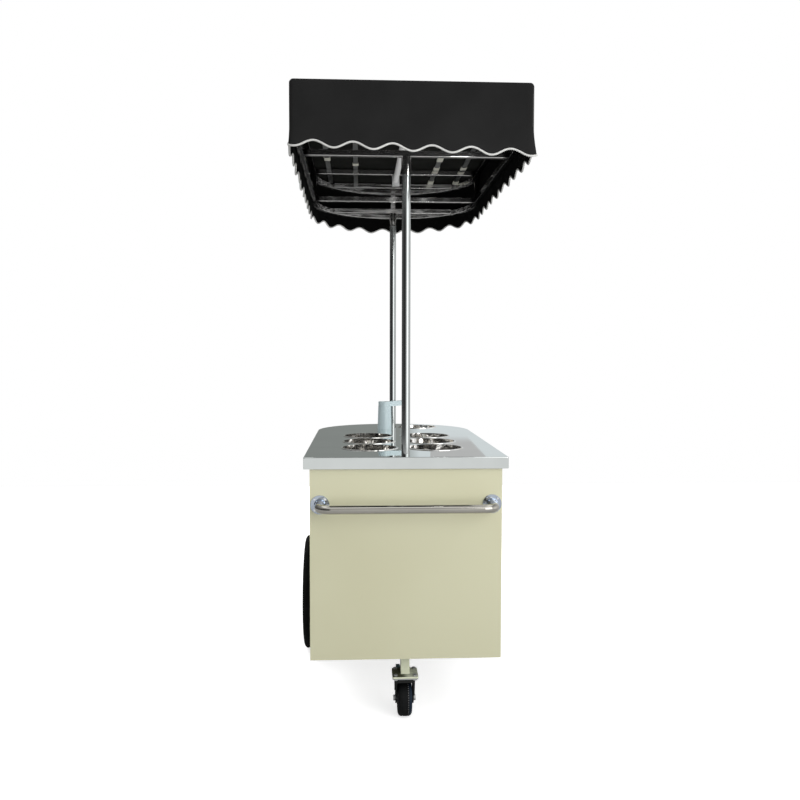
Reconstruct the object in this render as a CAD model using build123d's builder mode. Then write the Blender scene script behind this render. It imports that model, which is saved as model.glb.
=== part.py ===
import os
from math import atan, cos, pi, radians, sin, sqrt

from build123d import *

os.makedirs("parts", exist_ok=True)

# Gelato cart: millimetres, +Z up from the ground, +Y from the push bar towards the half-round nose,
# +X to the pusher's right. The origin is on the ground under the middle of the whole cart.

# Worktop
counter_height = 885.0
counter_width = 660.0
counter_length = 1318.0
counter_fold = 38.0
counter_sheet = 1.5
counter_corner = 6.0
counter_edge = 3.0
near_lip = 8.0
side_lip = 20.0

# Cabinet
panel_sheet = 1.5
panel_return = 12.0
skirt_drop = 18.0
frame_tube = 25.0
frame_wall = 2.0
floor_sheet = 1.5
weld_gap = 0.2

# Pots
pot_diameter = 192.0
pot_depth = 250.0
pot_sheet = 1.5
pot_heel = 16.0
pot_rim_width = 5.0
pot_rim_height = 2.0
pot_hole_clearance = 1.0
pot_rows = 3
pot_pitch = 220.0
pot_columns_apart = 230.0
first_row_inset = 278.0

# Cold well
well_margin = 24.0
well_sheet = 1.5
well_corner = 18.0
well_flange = 14.0
well_floor_gap = 7.0
insulation = 35.0
plate_thickness = 12.0
plate_height = 190.0
plate_end_gap = 25.0

# Sink and tap
sink_diameter = 180.0
sink_rim = 5.0
sink_rim_height = 2.0
sink_depth = 110.0
sink_heel = 30.0
sink_sheet = 1.5
sink_offset = 114.0
sink_setback = 152.0
drain_bore = 34.0
drain_wall = 3.0
drain_flange = 58.0
drain_flange_thickness = 2.5
drain_tail = 52.0
drain_nut = 56.0
drain_nut_height = 9.0
drain_clearance = 0.3
tap_offset = 38.0
tap_setback = 64.0
tap_base = 62.0
tap_top = 55.0
tap_height = 121.0
spout_height = 22.0
spout_width = 18.0
spout_reach = 104.0
spout_rise = 5.0
spout_angle = 20.0
spout_nozzle = 13.0
spout_nozzle_drop = 6.0
tap_spigot = 26.0
tap_spigot_height = 12.0

# Water and power inside
bottle_width = 190.0
bottle_depth = 160.0
bottle_height = 235.0
bottle_round = 18.0
bottle_neck = 52.0
bottle_neck_height = 20.0
bottle_gap = 40.0
bottle_inset = 430.0
battery_length = 150.0
battery_width = 66.0
battery_height = 94.0
battery_terminal = 12.0
battery_terminal_height = 6.0
pump_diameter = 52.0
pump_length = 110.0
pump_foot = 70.0
pump_foot_thickness = 6.0
power_offset = 190.0
power_setback = 60.0

# Poles
pole_diameter = 28.0
pole_wall = 1.5
pole_clearance = 0.2
pole_setback = 17.0
front_pole_setback = 112.0
socket_wall = 3.0
socket_height = 40.0
socket_flange = 60.0
socket_flange_thickness = 3.0
sleeve_wall = 2.0
sleeve_length = 58.0

# Push bar
bar_diameter = 28.0
bar_wall = 1.5
bar_reach = 92.0
bar_bend = 38.0
bar_drop = 153.0
flange_diameter = 61.0
flange_thickness = 3.5
flange_neck = 37.0
flange_neck_length = 14.0
flange_clearance = 0.1
flange_inset = 2.0
screw_head = 7.5
screw_height = 2.5
screw_count = 4

# Side wheels
wheel_diameter = 458.0
tyre_width = 58.0
tyre_height = 32.0
tread_width = 38.0
tread_groove = 4.0
tread_groove_depth = 3.0
wheel_gap = 6.0
rim_width = 46.0
rim_thickness = 7.0
rim_lip = 4.0
spoke_count = 6
spoke_width = 34.0
spoke_tip_width = 22.0
spoke_thickness = 16.0
hub_diameter = 66.0
hub_length = 34.0
bearing_outer = 42.0
bearing_width = 11.0
running_clearance = 0.05
seat_clearance = 0.1
axle_diameter = 20.0
axle_inset = 797.0
axle_nut = 32.0
axle_nut_height = 12.0
axle_collar = 34.0
axle_collar_width = 5.0
side_clearance = 0.3
clamp_length = 60.0
clamp_wall = 6.0
clamp_roof = 4.0

# Swivel caster
caster_diameter = 118.0
caster_width = 48.0
caster_round = 14.0
caster_groove = 2.0
caster_groove_depth = 1.5
caster_groove_offset = 8.0
caster_core = 84.0
caster_hub_width = 49.0
caster_hub_diameter = 36.0
caster_bore = 12.0
caster_trail = 25.0
caster_inset = 75.0
fork_gap = 2.0
fork_sheet = 4.0
fork_rim = 2.5
fork_rim_depth = 4.0
fork_apron = 9.0
fork_eye = 36.0
fork_front = 22.0
fork_back = 58.0
fork_headroom = 18.0
race_diameter = 44.0
race_height = 6.0
swivel_clearance = 0.3
caster_plate_width = 85.0
caster_plate_depth = 85.0
caster_plate_thickness = 4.0
foot_plate_thickness = 5.0
post_size = 30.0
post_wall = 2.0
plate_corner = 6.0
plate_bolt = 8.0
plate_bolt_inset = 11.0
plate_bolt_head = 14.0
plate_bolt_head_height = 5.0
kingpin_diameter = 12.0
kingpin_nut = 20.0
kingpin_nut_height = 6.0
axle_bolt_head = 19.0
axle_bolt_head_height = 7.0
pedal_pin = 5.0
pedal_hub = 10.0
pedal_back = 46.0
pedal_rise = 12.0
pedal_reach = 73.0
pedal_sheet = 3.0
pedal_pad_length = 32.0
pedal_pad_thickness = 9.0
pedal_pad_round = 3.0
pedal_tab = 20.0
pedal_tab_top = 13.0
pedal_tab_height = 16.0
shoe_length = 6.0
shoe_depth = 8.0
shoe_start = 9.0

# Canopy
canopy_top = 1980.0
canopy_width = 700.0
canopy_overhang = 255.0
canopy_inset = 56.0
valance_depth = 194.0
fabric_thickness = 3.0
fabric_gap = 0.3
hem_rise = 22.0
hem_trim = 0.5
near_scallops = 6
side_scallops = 10
nose_scallops = 10
canopy_tube = 20.0
canopy_tube_wall = 1.5
canopy_frame_depth = 110.0
end_frame_inset = 85.0
roof_bar_width = 18.0
roof_bar_thickness = 4.0
roof_bar_offsets = (165.0, 275.0)
led_diameter = 22.0
led_holder_width = 30.0
led_holder_depth = 18.0
led_holder_height = 44.0

# Service door, in the right side panel
door_width = 450.0
door_height = 275.0
door_inset = 75.0
door_sill = 17.0
door_gap = 2.5
door_return = 15.0
hinge_barrel = 10.0
hinge_pin = 5.0
hinge_length = 60.0
hinge_leaf = 20.0
hinge_leaf_thickness = 2.0
hinge_stand_off = 0.5
hinge_end_inset = 45.0
knob_diameter = 26.0
knob_neck = 12.0
knob_height = 22.0
knob_head = 9.0
knob_inset = 35.0

# Places worked out from the sizes above
counter_half = counter_width / 2
counter_near = -(counter_length - canopy_overhang) / 2
counter_far = counter_near + counter_length
counter_under = counter_height - counter_sheet
nose_centre = counter_far - counter_half
body_half = counter_half - side_lip
frame_half = body_half - panel_sheet
panel_near = counter_near + near_lip
frame_near = panel_near + panel_sheet
frame_inner = frame_half - frame_tube

axle_y = counter_near + axle_inset
axle_z = wheel_diameter / 2
frame_bottom = axle_z + axle_diameter / 2 + clamp_roof
frame_top = frame_bottom + frame_tube
floor_top = frame_top + floor_sheet
body_bottom = frame_bottom - skirt_drop
tyre_inner = body_half + wheel_gap
tyre_outer = tyre_inner + tyre_width
hub_outer = tyre_outer - axle_nut_height - side_clearance
hub_inner = hub_outer - hub_length

first_row = counter_near + first_row_inset
pot_radius = pot_diameter / 2
pot_column = pot_columns_apart / 2
pot_places = [
    (side * pot_column, first_row + row * pot_pitch) for row in range(pot_rows) for side in (-1, 1)
]
well_half = pot_column + pot_radius + well_margin
well_near = first_row - pot_radius - well_margin
well_far = first_row + (pot_rows - 1) * pot_pitch + pot_radius + well_margin
well_middle = (well_near + well_far) / 2
well_length = well_far - well_near
well_floor = counter_height - pot_depth - well_floor_gap

sink_y = nose_centre + sink_setback
sink_floor = counter_height - sink_depth
tap_y = nose_centre + tap_setback
spout_bottom = counter_height + tap_height - spout_height
rear_pole_y = frame_near + frame_tube + pole_setback
front_pole_y = nose_centre + front_pole_setback
pole_radius = pole_diameter / 2

canopy_half = canopy_width / 2
canopy_near = counter_near - canopy_overhang
canopy_chord = counter_far - canopy_inset - canopy_half
hem_low = canopy_top - valance_depth
rail_half = canopy_half - fabric_thickness - fabric_gap
rail_near = canopy_near + fabric_thickness + fabric_gap
rail_middle = rail_half - canopy_tube / 2
roof_bar_top = canopy_top - fabric_thickness
upper_rail = roof_bar_top - roof_bar_thickness - canopy_tube / 2
lower_rail = upper_rail - canopy_frame_depth
end_frame_y = canopy_chord - end_frame_inset
near_bar_y = rail_near + canopy_tube / 2

bar_half_span = body_half - flange_inset - flange_diameter / 2
handle_z = counter_height - bar_drop
handle_y = panel_near - bar_reach

caster_y = counter_near + caster_inset
caster_radius = caster_diameter / 2
caster_axle_y = caster_y + caster_trail
crown_bottom = caster_diameter + fork_headroom
crown_top = crown_bottom + fork_sheet
caster_plate_bottom = crown_top + race_height
foot_plate_bottom = caster_plate_bottom + caster_plate_thickness
foot_plate_top = foot_plate_bottom + foot_plate_thickness
fork_inner = caster_hub_width / 2 + fork_gap
fork_outer = fork_inner + fork_sheet
pedal_width = 2 * fork_inner - fork_gap
pedal_y = caster_y + pedal_back
pedal_z = crown_bottom - pedal_rise

door_near = counter_near + door_inset
door_far = door_near + door_width
door_bottom = floor_top + door_sill
door_top = door_bottom + door_height
hinge_x = body_half + hinge_barrel / 2 + hinge_stand_off
hinge_y = door_near + door_gap / 2


# Plan outline: straight sides from the near end, closed by a half circle about the chord
def half_round(half_width, near, chord):
    Polyline((-half_width, chord), (-half_width, near), (half_width, near), (half_width, chord))
    ThreePointArc((half_width, chord), (0, chord + half_width), (-half_width, chord))


# Band that follows the plan outline between two half widths, open at its near ends
def outline_band(outer, inner, near, chord, z):
    with BuildSketch(Plane.XY.offset(z)) as band:
        with BuildLine():
            half_round(outer, near, chord)
        make_face()
        with BuildLine():
            half_round(inner, near - outer, chord)
        make_face(mode=Mode.SUBTRACT)
    return band.sketch


# Section of a square tube, on a plane whose normal runs along the tube
def tube_section(plane, place, size, wall):
    with BuildSketch(plane) as section:
        with Locations(place):
            RectangleRounded(size, size, 1.5 * wall)
            RectangleRounded(size - 2 * wall, size - 2 * wall, wall / 2, mode=Mode.SUBTRACT)
    return section.sketch


# Worktop: one sheet folded down all round, with openings for the pots, sink, tap and poles
with BuildPart() as counter_top:
    with BuildSketch(Plane.XY.offset(counter_height)):
        with BuildLine():
            half_round(counter_half, counter_near, nose_centre)
        make_face()
    extrude(amount=-counter_fold)
    fillet(counter_top.edges().filter_by(Axis.Z).group_by(Axis.Y)[0], counter_corner)
    fillet(counter_top.faces().sort_by(Axis.Z)[-1].edges(), counter_edge)
    offset(amount=-counter_sheet, openings=counter_top.faces().sort_by(Axis.Z)[0])
    with BuildSketch(Plane.XY.offset(counter_height)):
        with Locations(*pot_places):
            Circle(pot_radius + pot_hole_clearance)
        with Locations((sink_offset, sink_y)):
            Circle(sink_diameter / 2 - sink_rim + sink_sheet)
        with Locations((0, rear_pole_y), (0, front_pole_y)):
            Circle(pole_radius + pole_clearance)
    extrude(amount=-counter_sheet, mode=Mode.SUBTRACT)
counter_top.part.label = "counter_top"
export_step(counter_top.part, "parts/counter_top.step")

# Lower frame: a bent tube round the outline and four cross tubes
frame_bore = (frame_half - frame_wall, frame_inner + frame_wall)
cross_length = 2 * (frame_inner - weld_gap)
cross_start = Plane.YZ.offset(-cross_length / 2)
with BuildPart() as base_frame:
    extrude(outline_band(frame_half, frame_inner, frame_near, nose_centre, frame_bottom), amount=frame_tube)
    extrude(
        outline_band(*frame_bore, frame_near - frame_tube, nose_centre, frame_bottom + frame_wall),
        amount=frame_tube - 2 * frame_wall,
        mode=Mode.SUBTRACT,
    )
    for y in (frame_near + frame_tube / 2, caster_y, axle_y, nose_centre - frame_tube / 2):
        place = (y, frame_bottom + frame_tube / 2)
        extrude(tube_section(cross_start, place, frame_tube, frame_wall), amount=cross_length)
base_frame.part.label = "base_frame"
export_step(base_frame.part, "parts/base_frame.step")

# Upper frame: corner posts and a bent tube under the worktop, closed by a near cross tube
ring_bottom = counter_under - frame_tube
post_length = ring_bottom - frame_top - 2 * weld_gap
post_start = Plane.XY.offset(frame_top + weld_gap)
post_y = (frame_near + frame_tube / 2, nose_centre - frame_tube / 2)
post_x = frame_half - frame_tube / 2
post_places = [(x, y) for x in (-post_x, post_x) for y in post_y]
with BuildPart() as body_frame:
    extrude(outline_band(frame_half, frame_inner, frame_near, nose_centre, ring_bottom), amount=frame_tube)
    extrude(
        outline_band(*frame_bore, frame_near - frame_tube, nose_centre, ring_bottom + frame_wall),
        amount=frame_tube - 2 * frame_wall,
        mode=Mode.SUBTRACT,
    )
    place = (post_y[0], ring_bottom + frame_tube / 2)
    extrude(tube_section(cross_start, place, frame_tube, frame_wall), amount=cross_length)
    for place in post_places:
        extrude(tube_section(post_start, place, frame_tube, frame_wall), amount=post_length)
body_frame.part.label = "body_frame"
export_step(body_frame.part, "parts/body_frame.step")

# Floor: a sheet on the lower frame, notched round the corner posts
with BuildPart() as floor_pan:
    with BuildSketch(Plane.XY.offset(frame_top)):
        with BuildLine():
            half_round(frame_half, frame_near, nose_centre)
        make_face()
        with Locations(*post_places):
            Rectangle(frame_tube + 2 * weld_gap, frame_tube + 2 * weld_gap, mode=Mode.SUBTRACT)
    extrude(amount=floor_sheet)
floor_pan.part.label = "floor_pan"
export_step(floor_pan.part, "parts/floor_pan.step")

# Near panel, under the push bar, with its foot folded inwards
with BuildPart() as rear_panel:
    with BuildSketch(Plane.YZ.offset(-body_half)):
        with Locations((panel_near, body_bottom)):
            Rectangle(panel_sheet, counter_under - body_bottom, align=Align.MIN)
    extrude(amount=2 * body_half)
    with BuildSketch(Plane.YZ.offset(weld_gap - frame_half)):
        with Locations((frame_near, body_bottom)):
            Rectangle(panel_return, panel_sheet, align=Align.MIN)
    extrude(amount=2 * (frame_half - weld_gap))
rear_panel.part.label = "rear_panel"
export_step(rear_panel.part, "parts/rear_panel.step")


# Side panel in the plane of its sheet: notched for the axle, and open where it has a door
def side_sheet(has_door):
    with Locations((frame_near, body_bottom)):
        Rectangle(nose_centre - frame_near, counter_under - body_bottom, align=Align.MIN)
    notch_top = axle_z + axle_diameter / 2 + clamp_roof / 2
    with Locations((axle_y, body_bottom)):
        Rectangle(
            axle_diameter + clamp_roof,
            notch_top - body_bottom,
            align=(Align.CENTER, Align.MIN),
            mode=Mode.SUBTRACT,
        )
    if has_door:
        with Locations((door_near, door_bottom)):
            Rectangle(door_width, door_height, align=Align.MIN, mode=Mode.SUBTRACT)


with BuildPart() as side_panel_left:
    with BuildSketch(Plane.YZ.offset(-body_half)):
        side_sheet(has_door=False)
    extrude(amount=panel_sheet)
side_panel_left.part.label = "side_panel_left"
export_step(side_panel_left.part, "parts/side_panel_left.step")

with BuildPart() as side_panel_right:
    with BuildSketch(Plane.YZ.offset(frame_half)):
        side_sheet(has_door=True)
    extrude(amount=panel_sheet)
side_panel_right.part.label = "side_panel_right"
export_step(side_panel_right.part, "parts/side_panel_right.step")

# Half-round nose panel
with BuildPart() as front_panel:
    with BuildSketch(Plane.XY.offset(body_bottom)):
        with Locations((0, nose_centre)):
            Circle(body_half)
            Circle(frame_half + weld_gap, mode=Mode.SUBTRACT)
            Rectangle(counter_width, counter_width, align=(Align.CENTER, Align.MAX), mode=Mode.SUBTRACT)
    extrude(amount=counter_under - body_bottom)
front_panel.part.label = "front_panel"
export_step(front_panel.part, "parts/front_panel.step")

# Pots: drawn cans with a rolled rim that rests on the worktop
for number, place in enumerate(pot_places, start=1):
    with BuildPart() as pot:
        with BuildSketch(Plane.XY.offset(counter_height)):
            with Locations(place):
                Circle(pot_radius)
        extrude(amount=-pot_depth)
        fillet(pot.edges().sort_by(Axis.Z)[0], pot_heel)
        offset(amount=-pot_sheet, openings=pot.faces().sort_by(Axis.Z)[-1])
        with BuildSketch(Plane.XY.offset(counter_height)):
            with Locations(place):
                Circle(pot_radius + pot_rim_width)
                Circle(pot_radius - pot_sheet, mode=Mode.SUBTRACT)
        extrude(amount=pot_rim_height)
        fillet(pot.edges().group_by(Axis.Z)[-1].sort_by(SortBy.LENGTH)[-1], pot_rim_height / 2)
    pot.part.label = f"pot_{number}"
    export_step(pot.part, f"parts/pot_{number}.step")

# Cold well: a sheet tub hung by its flange from the underside of the worktop
with BuildPart() as cold_well:
    with BuildSketch(Plane.XY.offset(well_floor - well_sheet)):
        with Locations((0, well_middle)):
            RectangleRounded(
                2 * (well_half + well_sheet), well_length + 2 * well_sheet, well_corner + well_sheet
            )
    extrude(amount=counter_under - well_floor + well_sheet)
    offset(amount=-well_sheet, openings=cold_well.faces().sort_by(Axis.Z)[-1])
    with BuildSketch(Plane.XY.offset(counter_under)):
        with Locations((0, well_middle)):
            Rectangle(2 * (well_half + well_flange), well_length + 2 * well_flange)
            RectangleRounded(2 * well_half, well_length, well_corner, mode=Mode.SUBTRACT)
    extrude(amount=-well_sheet)
cold_well.part.label = "cold_well"
export_step(cold_well.part, "parts/cold_well.step")

# Foam jacket round the well
with BuildPart() as well_insulation:
    with BuildSketch(Plane.XY.offset(well_floor - well_sheet - insulation)):
        with Locations((0, well_middle)):
            Rectangle(2 * (well_half + well_sheet + insulation), well_length + 2 * (well_sheet + insulation))
    extrude(amount=counter_under - well_sheet - well_floor + well_sheet + insulation)
    with BuildSketch(Plane.XY.offset(well_floor - well_sheet)):
        with Locations((0, well_middle)):
            RectangleRounded(
                2 * (well_half + well_sheet), well_length + 2 * well_sheet, well_corner + well_sheet
            )
    extrude(amount=counter_under - well_floor, mode=Mode.SUBTRACT)
well_insulation.part.label = "well_insulation"
export_step(well_insulation.part, "parts/well_insulation.step")

# Cold plates: flat packs along both walls of the well and down its middle
with BuildPart() as cold_plates:
    with BuildSketch(Plane.XY.offset(well_floor)):
        side_plate = well_half - plate_thickness / 2
        with Locations((-side_plate, well_middle), (0, well_middle), (side_plate, well_middle)):
            Rectangle(plate_thickness, well_length - 2 * plate_end_gap)
    extrude(amount=plate_height)
cold_plates.part.label = "cold_plates"
export_step(cold_plates.part, "parts/cold_plates.step")

# Sink: a spun bowl hung by its rim
sink_radius = sink_diameter / 2 - sink_rim
with BuildPart() as sink_basin:
    with BuildSketch(Plane.XY.offset(counter_height)):
        with Locations((sink_offset, sink_y)):
            Circle(sink_radius)
    extrude(amount=-sink_depth)
    fillet(sink_basin.edges().sort_by(Axis.Z)[0], sink_heel)
    offset(amount=-sink_sheet, openings=sink_basin.faces().sort_by(Axis.Z)[-1])
    with BuildSketch(Plane.XY.offset(counter_height)):
        with Locations((sink_offset, sink_y)):
            Circle(sink_diameter / 2)
            Circle(sink_radius - sink_sheet, mode=Mode.SUBTRACT)
    extrude(amount=sink_rim_height)
    with BuildSketch(Plane.XY.offset(sink_floor)):
        with Locations((sink_offset, sink_y)):
            Circle(drain_bore / 2 + drain_wall + drain_clearance)
    extrude(amount=sink_sheet, mode=Mode.SUBTRACT)
sink_basin.part.label = "sink_basin"
export_step(sink_basin.part, "parts/sink_basin.step")

# Drain: a flanged tail through the floor of the bowl, held by a nut below
with BuildPart() as sink_drain:
    with BuildSketch(Plane.XY.offset(sink_floor + sink_sheet)):
        with Locations((sink_offset, sink_y)):
            Circle(drain_flange / 2)
            Circle(drain_bore / 2, mode=Mode.SUBTRACT)
    extrude(amount=drain_flange_thickness)
    with BuildSketch(Plane.XY.offset(sink_floor + sink_sheet)):
        with Locations((sink_offset, sink_y)):
            Circle(drain_bore / 2 + drain_wall)
            Circle(drain_bore / 2, mode=Mode.SUBTRACT)
    extrude(amount=-drain_tail)
    with BuildSketch(Plane.XY.offset(sink_floor)):
        with Locations((sink_offset, sink_y)):
            RegularPolygon(drain_nut / 2, 6)
            Circle(drain_bore / 2 + drain_wall + drain_clearance, mode=Mode.SUBTRACT)
    extrude(amount=-drain_nut_height)
sink_drain.part.label = "sink_drain"
export_step(sink_drain.part, "parts/sink_drain.step")

# Tap: a tapered column with a spigot for the swivelling head
tap_body_height = tap_height - spout_height - swivel_clearance
tap_shoulder = tap_base / 2 - (tap_base - tap_top) / 2 * tap_body_height / tap_height
with BuildPart() as tap_body:
    with BuildSketch(Plane.XZ.offset(-tap_y)):
        with BuildLine():
            Polyline(
                (-tap_offset, counter_height),
                (-tap_offset + tap_base / 2, counter_height),
                (-tap_offset + tap_shoulder, counter_height + tap_body_height),
                (-tap_offset + tap_spigot / 2, counter_height + tap_body_height),
                (-tap_offset + tap_spigot / 2, spout_bottom + tap_spigot_height),
                (-tap_offset, spout_bottom + tap_spigot_height),
                close=True,
            )
        make_face()
    revolve(axis=Axis((-tap_offset, tap_y, 0), (0, 0, 1)))
tap_body.part.label = "tap_body"
export_step(tap_body.part, "parts/tap_body.step")

# Head and spout, turning on the spigot
spout_plane = Plane(
    origin=(-tap_offset, tap_y, spout_bottom),
    x_dir=(cos(radians(spout_angle)), sin(radians(spout_angle)), 0),
    z_dir=(0, 0, 1),
)
spout_side = Plane(
    origin=(-tap_offset, tap_y, spout_bottom),
    x_dir=(cos(radians(spout_angle)), sin(radians(spout_angle)), 0),
    z_dir=(sin(radians(spout_angle)), -cos(radians(spout_angle)), 0),
)
spout_end = spout_side.from_local_coords((spout_reach, spout_rise + spout_height / 2, 0))
with BuildPart() as tap_spout:
    with BuildSketch(spout_plane):
        Circle(tap_top / 2)
    extrude(amount=spout_height)
    with BuildSketch(spout_side):
        Polygon(
            (tap_spigot / 2 + spout_width / 2, 0),
            (spout_reach, spout_rise),
            (spout_reach, spout_rise + spout_height),
            (tap_spigot / 2 + spout_width / 2, spout_height),
            align=None,
        )
    extrude(amount=spout_width / 2, both=True)
    fillet(tap_spout.edges().filter_by(Axis.Z).sort_by_distance(spout_end)[:2], spout_width / 3)
    with BuildSketch(spout_plane):
        Circle(tap_spigot / 2 + running_clearance)
    extrude(amount=tap_spigot_height + swivel_clearance, mode=Mode.SUBTRACT)
    with BuildSketch(spout_plane):
        with Locations((spout_reach - spout_width / 2, 0)):
            Circle(spout_nozzle / 2)
    extrude(amount=spout_rise + spout_height / 2)
    with BuildSketch(spout_plane):
        with Locations((spout_reach - spout_width / 2, 0)):
            Circle(spout_nozzle / 2)
    extrude(amount=-spout_nozzle_drop)
tap_spout.part.label = "tap_spout"
export_step(tap_spout.part, "parts/tap_spout.step")

# Fresh and waste water bottles, side by side on the floor
with BuildPart() as water_bottles:
    bottle_x = (bottle_width + bottle_gap) / 2
    bottle_places = [(-bottle_x, counter_near + bottle_inset), (bottle_x, counter_near + bottle_inset)]
    with BuildSketch(Plane.XY.offset(floor_top)):
        with Locations(*bottle_places):
            RectangleRounded(bottle_width, bottle_depth, bottle_round)
    extrude(amount=bottle_height)
    fillet(water_bottles.edges().group_by(Axis.Z)[-1], bottle_round / 2)
    with BuildSketch(Plane.XY.offset(floor_top + bottle_height)):
        with Locations(*bottle_places):
            Circle(bottle_neck / 2)
    extrude(amount=bottle_neck_height)
water_bottles.part.label = "water_bottles"
export_step(water_bottles.part, "parts/water_bottles.step")

# Pump: a motor barrel on a foot
power_y = nose_centre - power_setback
with BuildPart() as water_pump:
    with BuildSketch(Plane.XY.offset(floor_top)):
        with Locations((power_offset, power_y)):
            Rectangle(pump_foot, pump_length)
    extrude(amount=pump_foot_thickness)
    pump_axis_z = floor_top + pump_foot_thickness + pump_diameter / 2
    with BuildSketch(Plane.XZ.offset(-power_y)):
        with Locations((power_offset, pump_axis_z)):
            Circle(pump_diameter / 2)
        with Locations((power_offset, floor_top + pump_foot_thickness)):
            Rectangle(pump_diameter / 2, pump_diameter / 2, align=(Align.CENTER, Align.MIN))
    extrude(amount=pump_length / 2, both=True)
water_pump.part.label = "water_pump"
export_step(water_pump.part, "parts/water_pump.step")

# Battery with two terminals
with BuildPart() as battery:
    with BuildSketch(Plane.XY.offset(floor_top)):
        with Locations((-power_offset, power_y)):
            Rectangle(battery_width, battery_length)
    extrude(amount=battery_height)
    with BuildSketch(Plane.XY.offset(floor_top + battery_height)):
        terminal_shift = battery_length / 2 - battery_terminal
        with Locations((-power_offset, power_y - terminal_shift), (-power_offset, power_y + terminal_shift)):
            Rectangle(battery_terminal, battery_terminal)
    extrude(amount=battery_terminal_height)
battery.part.label = "battery"
export_step(battery.part, "parts/battery.step")


# Round poles from their sockets up to the crossbars of the canopy
pole_bottom = floor_top + socket_flange_thickness
pole_length = lower_rail - canopy_tube / 2 - pole_bottom
with BuildPart() as rear_pole:
    with BuildSketch(Plane.XY.offset(pole_bottom)):
        with Locations((0, rear_pole_y)):
            Circle(pole_radius)
            Circle(pole_radius - pole_wall, mode=Mode.SUBTRACT)
    extrude(amount=pole_length)
rear_pole.part.label = "rear_pole"
export_step(rear_pole.part, "parts/rear_pole.step")

with BuildPart() as front_pole:
    with BuildSketch(Plane.XY.offset(pole_bottom)):
        with Locations((0, front_pole_y)):
            Circle(pole_radius)
            Circle(pole_radius - pole_wall, mode=Mode.SUBTRACT)
    extrude(amount=pole_length)
front_pole.part.label = "front_pole"
export_step(front_pole.part, "parts/front_pole.step")

# Flanged feet that take the poles on the floor
with BuildPart() as pole_sockets:
    with BuildSketch(Plane.XY.offset(floor_top)):
        with Locations((0, rear_pole_y), (0, front_pole_y)):
            Circle(socket_flange / 2)
    extrude(amount=socket_flange_thickness)
    with BuildSketch(Plane.XY.offset(floor_top + socket_flange_thickness)):
        with Locations((0, rear_pole_y), (0, front_pole_y)):
            Circle(pole_radius + pole_clearance + socket_wall)
            Circle(pole_radius + pole_clearance, mode=Mode.SUBTRACT)
    extrude(amount=socket_height)
pole_sockets.part.label = "pole_sockets"
export_step(pole_sockets.part, "parts/pole_sockets.step")

# Sleeves over the pole tops, welded under the crossbars
with BuildPart() as pole_sleeves:
    with BuildSketch(Plane.XY.offset(lower_rail - canopy_tube / 2)):
        with Locations((0, rear_pole_y), (0, front_pole_y)):
            Circle(pole_radius + pole_clearance + sleeve_wall)
            Circle(pole_radius + pole_clearance, mode=Mode.SUBTRACT)
    extrude(amount=-sleeve_length)
pole_sleeves.part.label = "pole_sleeves"
export_step(pole_sleeves.part, "parts/pole_sleeves.step")

# Push bar: one tube with a bend at each end
with BuildPart() as handle_bar:
    with BuildLine(Plane.XY.offset(handle_z)):
        FilletPolyline(
            (-bar_half_span, panel_near),
            (-bar_half_span, handle_y),
            (bar_half_span, handle_y),
            (bar_half_span, panel_near),
            radius=bar_bend,
        )
    with BuildSketch(Plane(origin=(-bar_half_span, panel_near, handle_z), z_dir=(0, -1, 0))):
        Circle(bar_diameter / 2)
        Circle(bar_diameter / 2 - bar_wall, mode=Mode.SUBTRACT)
    sweep()
handle_bar.part.label = "handle_bar"
export_step(handle_bar.part, "parts/handle_bar.step")

# Flanges that screw the push bar to the panel
with BuildPart() as handle_flanges:
    bore = bar_diameter / 2 + flange_clearance
    for x in (-bar_half_span, bar_half_span):
        with BuildSketch(Plane.XY.offset(handle_z)):
            with BuildLine():
                Polyline(
                    (x + bore, panel_near),
                    (x + flange_diameter / 2, panel_near),
                    (x + flange_diameter / 2, panel_near - flange_thickness),
                    (x + flange_neck / 2, panel_near - flange_thickness),
                    (x + bore + bar_wall, panel_near - flange_neck_length),
                    (x + bore, panel_near - flange_neck_length),
                    close=True,
                )
            make_face()
        revolve(axis=Axis((x, panel_near, handle_z), (0, 1, 0)))
handle_flanges.part.label = "handle_flanges"
export_step(handle_flanges.part, "parts/handle_flanges.step")

# Screw heads on the flanges
with BuildPart() as handle_screws:
    screw_circle = (flange_diameter + flange_neck) / 4
    with BuildSketch(Plane.XZ.offset(flange_thickness - panel_near)):
        for x in (-bar_half_span, bar_half_span):
            with Locations((x, handle_z)):
                with PolarLocations(screw_circle, screw_count, start_angle=180 / screw_count):
                    Circle(screw_head / 2)
    extrude(amount=screw_height)
    chamfer(handle_screws.edges().group_by(Axis.Y)[0], screw_height / 3)
handle_screws.part.label = "handle_screws"
export_step(handle_screws.part, "parts/handle_screws.step")

# Axle: one straight bar under the lower frame
axle_half = hub_outer + side_clearance + axle_nut_height / 2
axle_line = Axis((0, axle_y, axle_z), (1, 0, 0))
with BuildPart() as axle_bar:
    with BuildSketch(Plane.YZ.offset(-axle_half)):
        with Locations((axle_y, axle_z)):
            Circle(axle_diameter / 2)
    extrude(amount=2 * axle_half)
axle_bar.part.label = "axle_bar"
export_step(axle_bar.part, "parts/axle_bar.step")

# Clamp blocks that hold the axle under the side rails
with BuildPart() as axle_clamps:
    clamp_bottom = axle_z - axle_diameter / 2 - clamp_wall
    for x in (-frame_half, frame_inner):
        with BuildSketch(Plane.YZ.offset(x)):
            with Locations((axle_y, clamp_bottom)):
                Rectangle(clamp_length, frame_bottom - clamp_bottom, align=(Align.CENTER, Align.MIN))
            with Locations((axle_y, axle_z)):
                Circle(axle_diameter / 2 + seat_clearance, mode=Mode.SUBTRACT)
        extrude(amount=frame_tube)
    fillet(axle_clamps.edges().filter_by(Axis.X).group_by(Axis.Z)[0], clamp_wall)
axle_clamps.part.label = "axle_clamps"
export_step(axle_clamps.part, "parts/axle_clamps.step")

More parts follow.
